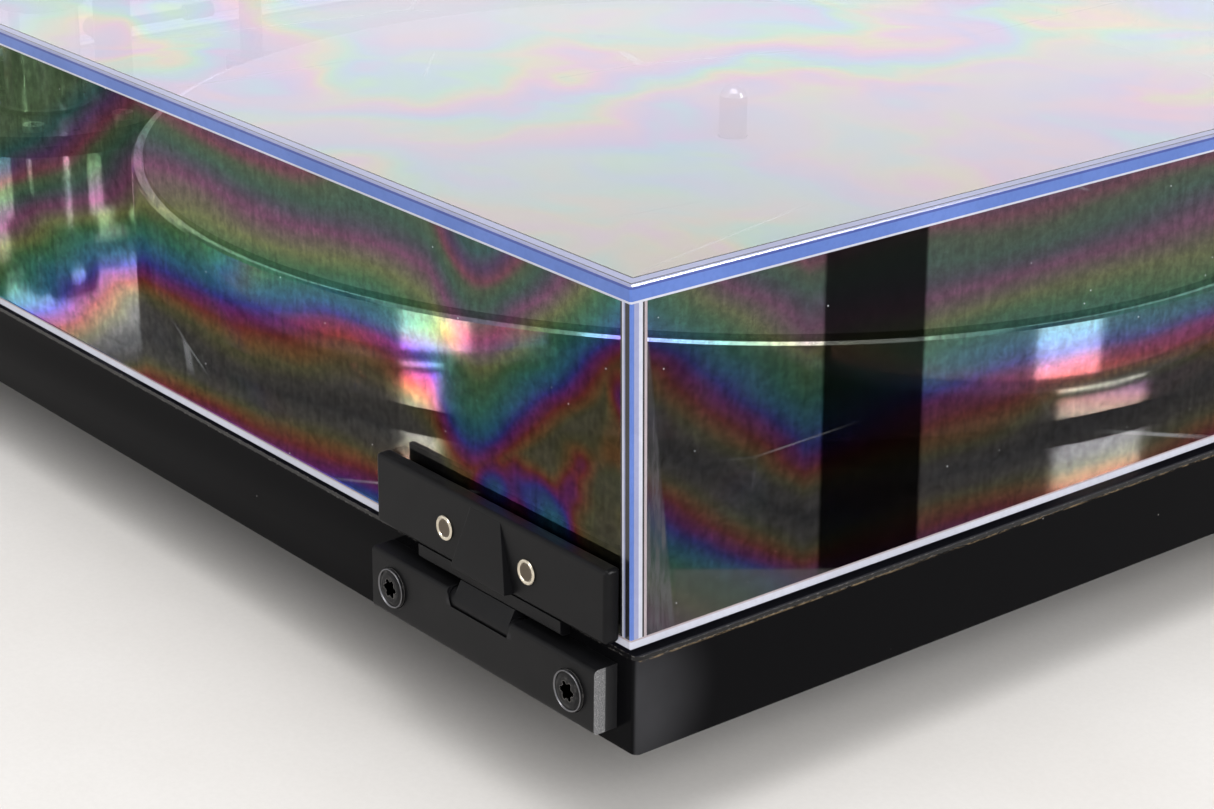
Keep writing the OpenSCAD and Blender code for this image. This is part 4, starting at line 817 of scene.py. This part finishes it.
def hinge_rivets(nickel):
    """Hollow rivets: a thin rolled rim round an open bore, with a dark cup of painted shade in it."""
    low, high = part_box("cover_rivets")
    rim = (high.z - low.z) / 2
    bore = rim * 0.68
    stem = rim * 0.78
    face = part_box("left_cover_bracket")[1].y - WEDGE_RISE
    profile = [(0.1 * MM, low.y), (stem, low.y), (stem, high.y - 0.5 * MM), (rim, high.y - 0.45 * MM),
               (rim, high.y - 0.25 * MM), (rim - 0.12 * MM, high.y - 0.06 * MM), (rim - 0.3 * MM, high.y),
               (bore + 0.12 * MM, high.y - 0.06 * MM), (bore, high.y - 0.3 * MM),
               (bore * 0.93, face + 0.16 * MM), (bore * 0.6, face + 0.09 * MM), (0.1 * MM, face + 0.05 * MM)]
    spots = hinge_spots(RIVET_SPACING, (low.z + high.z) / 2)
    turned("hollow_rivets", profile, spots, "cover", "rivet", nickel, "cover_rivets")
    # a dark brown metal cup deep in each bore: painted shade in the hollow
    cup = [(bore, face + 0.34 * MM), (bore * 0.85, face + 0.22 * MM), (bore * 0.5, face + 0.13 * MM),
           (0.1 * MM, face + 0.10 * MM)]
    painted_bore_shade = metal("rivet bore", (0.13, 0.105, 0.08), 0.42, tarnish=0.4)
    turned("rivet_bores", cup, spots, "cover", "rivet", painted_bore_shade)


def hinges():
    """The moulded hinges: rounded brackets and bases, sawn ends, screws and hollow rivets."""
    plastic = satin_plastic("hinge plastic")
    low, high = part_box("left_hinge_base")
    sawn = sawn_plastic("sawn hinge end", (low.y + high.y) / 2)
    outward = (("left", -1.0), ("right", 1.0))
    for side, sign in outward:
        def is_end(face, sign=sign):
            return face.normal.x * sign > 0.95 and abs(face.calc_center_median().x) > 217 * MM
        soften(side + "_hinge_base", "plinth", "hinge_plastic", plastic, 0.55 * MM, repaint=(sawn, is_end))
        cover_bracket(side, plastic)
        soften(side + "_hinge_leaf", "cover", "hinge_plastic", plastic, 0.3 * MM, segments=2)
    hinge_rivets(metal("rivet nickel", (0.74, 0.67, 0.54), 0.22, tarnish=0.3))
    paint(blackened_steel("hinge screw black"), "hinge_screws")
    low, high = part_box("hinge_screws")
    rim = (high.z - low.z) / 2
    spots = hinge_spots(SCREW_SPACING, (low.z + high.z) / 2)
    # a lighter metal ring round each screw head: a rubbed rim and a painted highlight ring
    ring = [(rim - 0.30 * MM, high.y - 0.25 * MM), (rim - 0.26 * MM, high.y - 0.02 * MM),
            (rim - 0.08 * MM, high.y - 0.02 * MM), (rim, high.y - 0.25 * MM)]
    rubbed = metal("screw rim", (0.17, 0.17, 0.18), 0.3, tarnish=0.4)
    turned("hinge_screw_rims", ring, spots, "plinth", "black_steel", rubbed)
    paint(metal("hinge steel", (0.55, 0.55, 0.56), 0.3), "hinge_pins", "hinge_springs")
    paint(satin_plastic("backing plate black", (0.008, 0.008, 0.009), 0.5), "backing_plates")


def plinth():
    low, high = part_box("plinth_board")
    seam = Vector((low.x, high.y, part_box("top_laminate")[0].z - 0.15 * MM))
    # the lacquer carries a grey painted reflection on the left face beside the rear left corner
    lacquer = gloss_black("plinth lacquer", 0.03, seam, Vector((low.x, high.y, (low.z + high.z) / 2)))
    soften("plinth_board", "plinth", "board", lacquer, 0.35 * MM, angle=60.0)
    paint(gloss_black("deck laminate"), "top_laminate")
    paint(rubber("foot rubber"), "feet")
    plated = metal("plated screws", (0.62, 0.62, 0.60), 0.3, tarnish=0.3)
    paint(plated, "foot_screws", "cover_screws", "motor_screws", "arm_base_screws")
    paint(satin_plastic("underside cover", (0.016, 0.016, 0.017), 0.5, 0.5 * MM), "bottom_cover")
    paint(circuit_board("circuit board"), "control_board")
    paint(rubber("pad rubber", (0.03, 0.03, 0.03), 0.8), "cover_pads")


def drive():
    spindle = centre_of("platter")
    motor = centre_of("motor_pulley")
    paint(turned_metal("polished platter", (0.66, 0.66, 0.68), spindle, 0.10), "platter")
    paint(felt("platter felt"), "platter_mat")
    paint(turned_metal("spindle steel", (0.32, 0.32, 0.33), spindle, 0.2), "spindle", "thrust_ball")
    paint(satin_plastic("sub-platter moulding", (0.02, 0.02, 0.021), 0.45), "sub_platter")
    paint(rubber("belt rubber", (0.02, 0.018, 0.016), 0.6), "drive_belt")
    paint(turned_metal("pulley brass", (0.72, 0.52, 0.24), motor, 0.18), "motor_pulley")
    paint(turned_metal("motor can", (0.50, 0.51, 0.52), motor, 0.28), "motor_body")
    paint(metal("motor plate steel", (0.55, 0.55, 0.55), 0.35, (0.1, 1, 1)), "motor_plate")
    paint(turned_metal("bearing steel", (0.48, 0.48, 0.49), spindle, 0.3), "bearing_housing")
    paint(turned_metal("bush bronze", (0.55, 0.36, 0.18), spindle, 0.35), "bearing_bush")


def tonearm():
    pivot = centre_of("arm_pillar")
    black = satin_plastic("arm moulding", (0.013, 0.013, 0.014), 0.35)
    for node in ("arm_rest", "cue_tower"):
        soften(node, "plinth", "small_plastic", black, 0.25 * MM, segments=2)
    paint(black, "arm_clip", "cue_platform", "cue_lever", "anti_skate_dial")
    paint(turned_metal("arm base enamel", (0.05, 0.05, 0.052), pivot, 0.3), "arm_base")
    paint(turned_metal("arm pillar", (0.60, 0.60, 0.62), pivot, 0.2), "arm_pillar")
    paint(metal("yoke casting", (0.10, 0.10, 0.105), 0.32, streak=0.2 * MM), "arm_yoke", "arm_pivot_block")
    bright = metal("bright pins", (0.75, 0.75, 0.76), 0.16)
    paint(bright, "arm_pivot_pins", "counterweight_stub", "cartridge_screws")
    paint(metal("arm tube", (0.70, 0.70, 0.72), 0.14, (1, 0.05, 1)), "arm_tube")
    paint(metal("headshell magnesium", (0.06, 0.06, 0.063), 0.36, (1, 0.2, 1)), "headshell")
    paint(metal("finger lift steel", (0.72, 0.72, 0.73), 0.15), "finger_lift")
    paint(satin_plastic("cartridge body", (0.016, 0.016, 0.018), 0.28), "cartridge")
    paint(satin_plastic("stylus grip", (0.35, 0.03, 0.02), 0.3), "stylus")
    paint(metal("counterweight", (0.11, 0.11, 0.115), 0.25, (1, 0.3, 1)), "counterweight")
    paint(satin_plastic("force ring", (0.012, 0.012, 0.013), 0.3), "force_ring")
    white = painted_light_and_print("printed mark", (0.80, 0.80, 0.78), 0.0, rough=0.5)
    low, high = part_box("force_ring")
    middle = (low + high) / 2
    tick_ring("force_ring_marks", "ring", "ring", white, Vector((middle.x, low.y + 0.02 * MM, middle.z)),
              (0, -1, 0), (high.x - low.x) / 2 - 2.6 * MM, 1.6 * MM, 0.3 * MM, 0.03 * MM, range(0, 360, 18))
    low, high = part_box("anti_skate_dial")
    middle = (low + high) / 2
    face = Vector((middle.x, middle.y, high.z - 0.02 * MM))
    tick_ring("anti_skate_marks", "anti_skate", "small_plastic", white, face, (0, 0, 1),
              3.4 * MM, 1.8 * MM, 0.28 * MM, 0.05 * MM, range(0, 271, 30))


def controls_and_sockets():
    low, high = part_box("speed_knob")
    knob = (low + high) / 2
    paint(turned_metal("knob aluminium", (0.58, 0.58, 0.60), knob, 0.22), "speed_knob")
    paint(satin_plastic("terminal box", (0.014, 0.014, 0.015), 0.45, 0.4 * MM), "terminal_box")
    middle = centre_of("phono_sockets")
    paint(two_tone("socket insulators", (0.62, 0.60, 0.56), (0.45, 0.02, 0.015), middle.x), "phono_sockets")
    paint(satin_plastic("power inlet", (0.02, 0.02, 0.02), 0.4), "power_inlet")
    paint(metal("ground post", (0.70, 0.68, 0.62), 0.24), "ground_post", "ground_nut")


# ---------------------------------------------------------------------------------------------
# Stage, light and camera
# ---------------------------------------------------------------------------------------------

FLOOR_RADIUS = 7.0
FLOOR_NEAR, FLOOR_FAR = 0.36, 0.85    # where the table gives way to the white sweep


def floor():
    work = bmesh.new()
    bmesh.ops.create_circle(work, cap_ends=True, segments=96, radius=FLOOR_RADIUS)
    mesh = bpy.data.meshes.new("floor")
    work.to_mesh(mesh)
    work.free()
    s = Shader("pale table")
    where = s.place()
    distance = s.node("VectorMath", {0: where}, operation="LENGTH").outputs["Value"]
    far = s.remap(distance, FLOOR_NEAR, FLOOR_FAR)
    cloud = s.noise(where, 0.12, 4.0, 0.6)
    grain = s.noise(where, 1.5 * MM, 3.0, 0.7)
    tone = s.mix(s.remap(cloud, 0.3, 0.7), (0.66, 0.635, 0.61), (0.70, 0.68, 0.66))
    tone = s.mix(s.remap(grain, 0.3, 0.7, 0.0, 0.12), tone, (0.52, 0.50, 0.48))
    table = s.principled(Base_Color=tone, Roughness=0.9, Specular_IOR_Level=0.0)
    sweep = s.node("Emission", {"Color": (1.0, 1.0, 1.0), "Strength": 1.0}).outputs[0]
    mesh.materials.append(s.finish(s.node("MixShader", {0: far, 1: table, 2: sweep}).outputs[0]))
    made = bpy.data.objects.new("floor", mesh)
    bpy.context.collection.objects.link(made)


def world(glow=1.28, low=1.0, high=0.56):
    """A white studio: a bright band low all round, softer light above it."""
    made = bpy.data.worlds.new("studio")
    bpy.context.scene.world = made
    made.use_nodes = True
    tree = made.node_tree
    tree.nodes.clear()
    output = tree.nodes.new("ShaderNodeOutputWorld")
    sky = tree.nodes.new("ShaderNodeBackground")
    coords = tree.nodes.new("ShaderNodeTexCoord")
    parts = tree.nodes.new("ShaderNodeSeparateXYZ")
    ramp = tree.nodes.new("ShaderNodeValToRGB")
    line = ramp.color_ramp
    stops = ((0.0, low), (0.205, low), (0.235, glow), (0.331, glow), (0.348, high), (1.0, high * 1.2))
    line.elements[0].position, line.elements[1].position = stops[0][0], stops[-1][0]
    for element, (_, level) in zip(line.elements, (stops[0], stops[-1])):
        element.color = (level, level, level, 1.0)
    for place, level in stops[1:-1]:
        line.elements.new(place).color = (level, level, level, 1.0)
    tree.links.new(coords.outputs["Generated"], parts.inputs[0])
    tree.links.new(parts.outputs[2], ramp.inputs[0])
    tree.links.new(ramp.outputs[0], sky.inputs["Color"])
    tree.links.new(sky.outputs[0], output.inputs["Surface"])


def softbox(name, place, target, width, height, radiance, seen="both", only=None):
    """A panel of even light, facing its target, seen by diffuse, glossy or both kinds of ray."""
    lamp = bpy.data.lights.new(name, "AREA")
    lamp.shape = "RECTANGLE"
    lamp.size, lamp.size_y = width, height
    lamp.energy = radiance * math.pi * width * height
    made = bpy.data.objects.new(name, lamp)
    made.location = place
    made.rotation_euler = (target - place).to_track_quat("-Z", "Y").to_euler()
    made.visible_camera = False
    made.visible_diffuse = seen != "glossy"
    made.visible_glossy = seen != "diffuse"
    if only is not None:
        made.light_linking.receiver_collection = bpy.data.collections.new(name + " receivers")
        made.light_linking.receiver_collection.objects.link(only)
    bpy.context.collection.objects.link(made)
    return made


def out_along(direction, distance):
    """An offset of the given length along a direction."""
    return Vector(direction).normalized() * distance


DECK_GLINT = Vector((0.04, 0.14, 0.04))    # the part of the deck that mirrors a window
GLINT_HEIGHT = 0.018    # of the two small panels beside the plinth


def lights():
    """Two soft panels light everything. The others are seen only in glossy surfaces."""
    middle = Vector((0.0, 0.0, 0.0))
    softbox("overhead", out_along((-0.25, 0.15, 1.0), 2.2), middle, 1.6, 1.6, 3.2)
    softbox("key", out_along((-1.0, 0.45, 0.60), 2.4), middle, 1.8, 1.2, 5.2, seen="diffuse")
    rise = math.tan(math.radians(20.7))
    softbox("rear strip", out_along((0.08, 0.995, rise), 1.7), middle, 0.20, 0.26, 55.0, seen="glossy")
    softbox("left strip", out_along((-0.90, -0.44, rise), 1.7), middle, 0.50, 0.26, 45.0, seen="glossy")
    window = DECK_GLINT + out_along((0.89, -0.453, 0.325), 1.7)
    softbox("deck glint", window, DECK_GLINT, 0.30, 0.14, 13.0, seen="glossy",
            only=frame["nodes"]["top_laminate"])
    axis = centre_of("platter")
    target = Vector((axis.x, axis.y, GLINT_HEIGHT))
    for name, bearing, reach in (("rear glint", 101.0, 0.252), ("left glint", 182.5, 0.257)):
        turn = math.radians(bearing)
        place = Vector((axis.x + reach * math.cos(turn), axis.y + reach * math.sin(turn), GLINT_HEIGHT))
        softbox(name, place, target, 0.044, 0.034, 7.0, seen="glossy", only=frame["nodes"]["platter"])


CAMERA_FROM_CORNER = Vector((-0.3434, 0.2894, 0.2237))   # from the deck's rear left corner
CAMERA_AZIMUTH, CAMERA_ELEVATION, CAMERA_ROLL = 230.60, 21.38, 0.592
CAMERA_LENS = 84.28


def camera():
    low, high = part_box("top_laminate")
    corner = Vector((low.x, high.y, high.z))
    turn, tilt, roll = (math.radians(v) for v in (CAMERA_AZIMUTH, CAMERA_ELEVATION, CAMERA_ROLL))
    back = Vector((math.sin(turn) * math.cos(tilt), -math.cos(turn) * math.cos(tilt), math.sin(tilt)))
    right = Vector((0, 0, 1)).cross(back).normalized()
    up = back.cross(right)
    right, up = (right * math.cos(roll) + up * math.sin(roll), up * math.cos(roll) - right * math.sin(roll))
    data = bpy.data.cameras.new("camera")
    data.lens = CAMERA_LENS
    data.sensor_width = 36.0
    data.clip_start, data.clip_end = 0.01, 50.0
    made = bpy.data.objects.new("camera", data)
    bpy.context.collection.objects.link(made)
    columns = (right, up, back, corner + CAMERA_FROM_CORNER)
    made.matrix_world = Matrix([[column[row] for column in columns] for row in range(3)] + [[0, 0, 0, 1]])
    bpy.context.scene.camera = made


def picture_settings():
    scene = bpy.context.scene
    scene.view_settings.view_transform = "Standard"
    scene.view_settings.look = "None"
    scene.cycles.transparent_max_bounces = 24
    scene.cycles.max_bounces = 12
    scene.cycles.caustics_reflective = False
    scene.cycles.caustics_refractive = False


camera()
picture_settings()
floor()
world()
lights()
dust_cover()
hinges()
plinth()
drive()
tonearm()
controls_and_sockets()
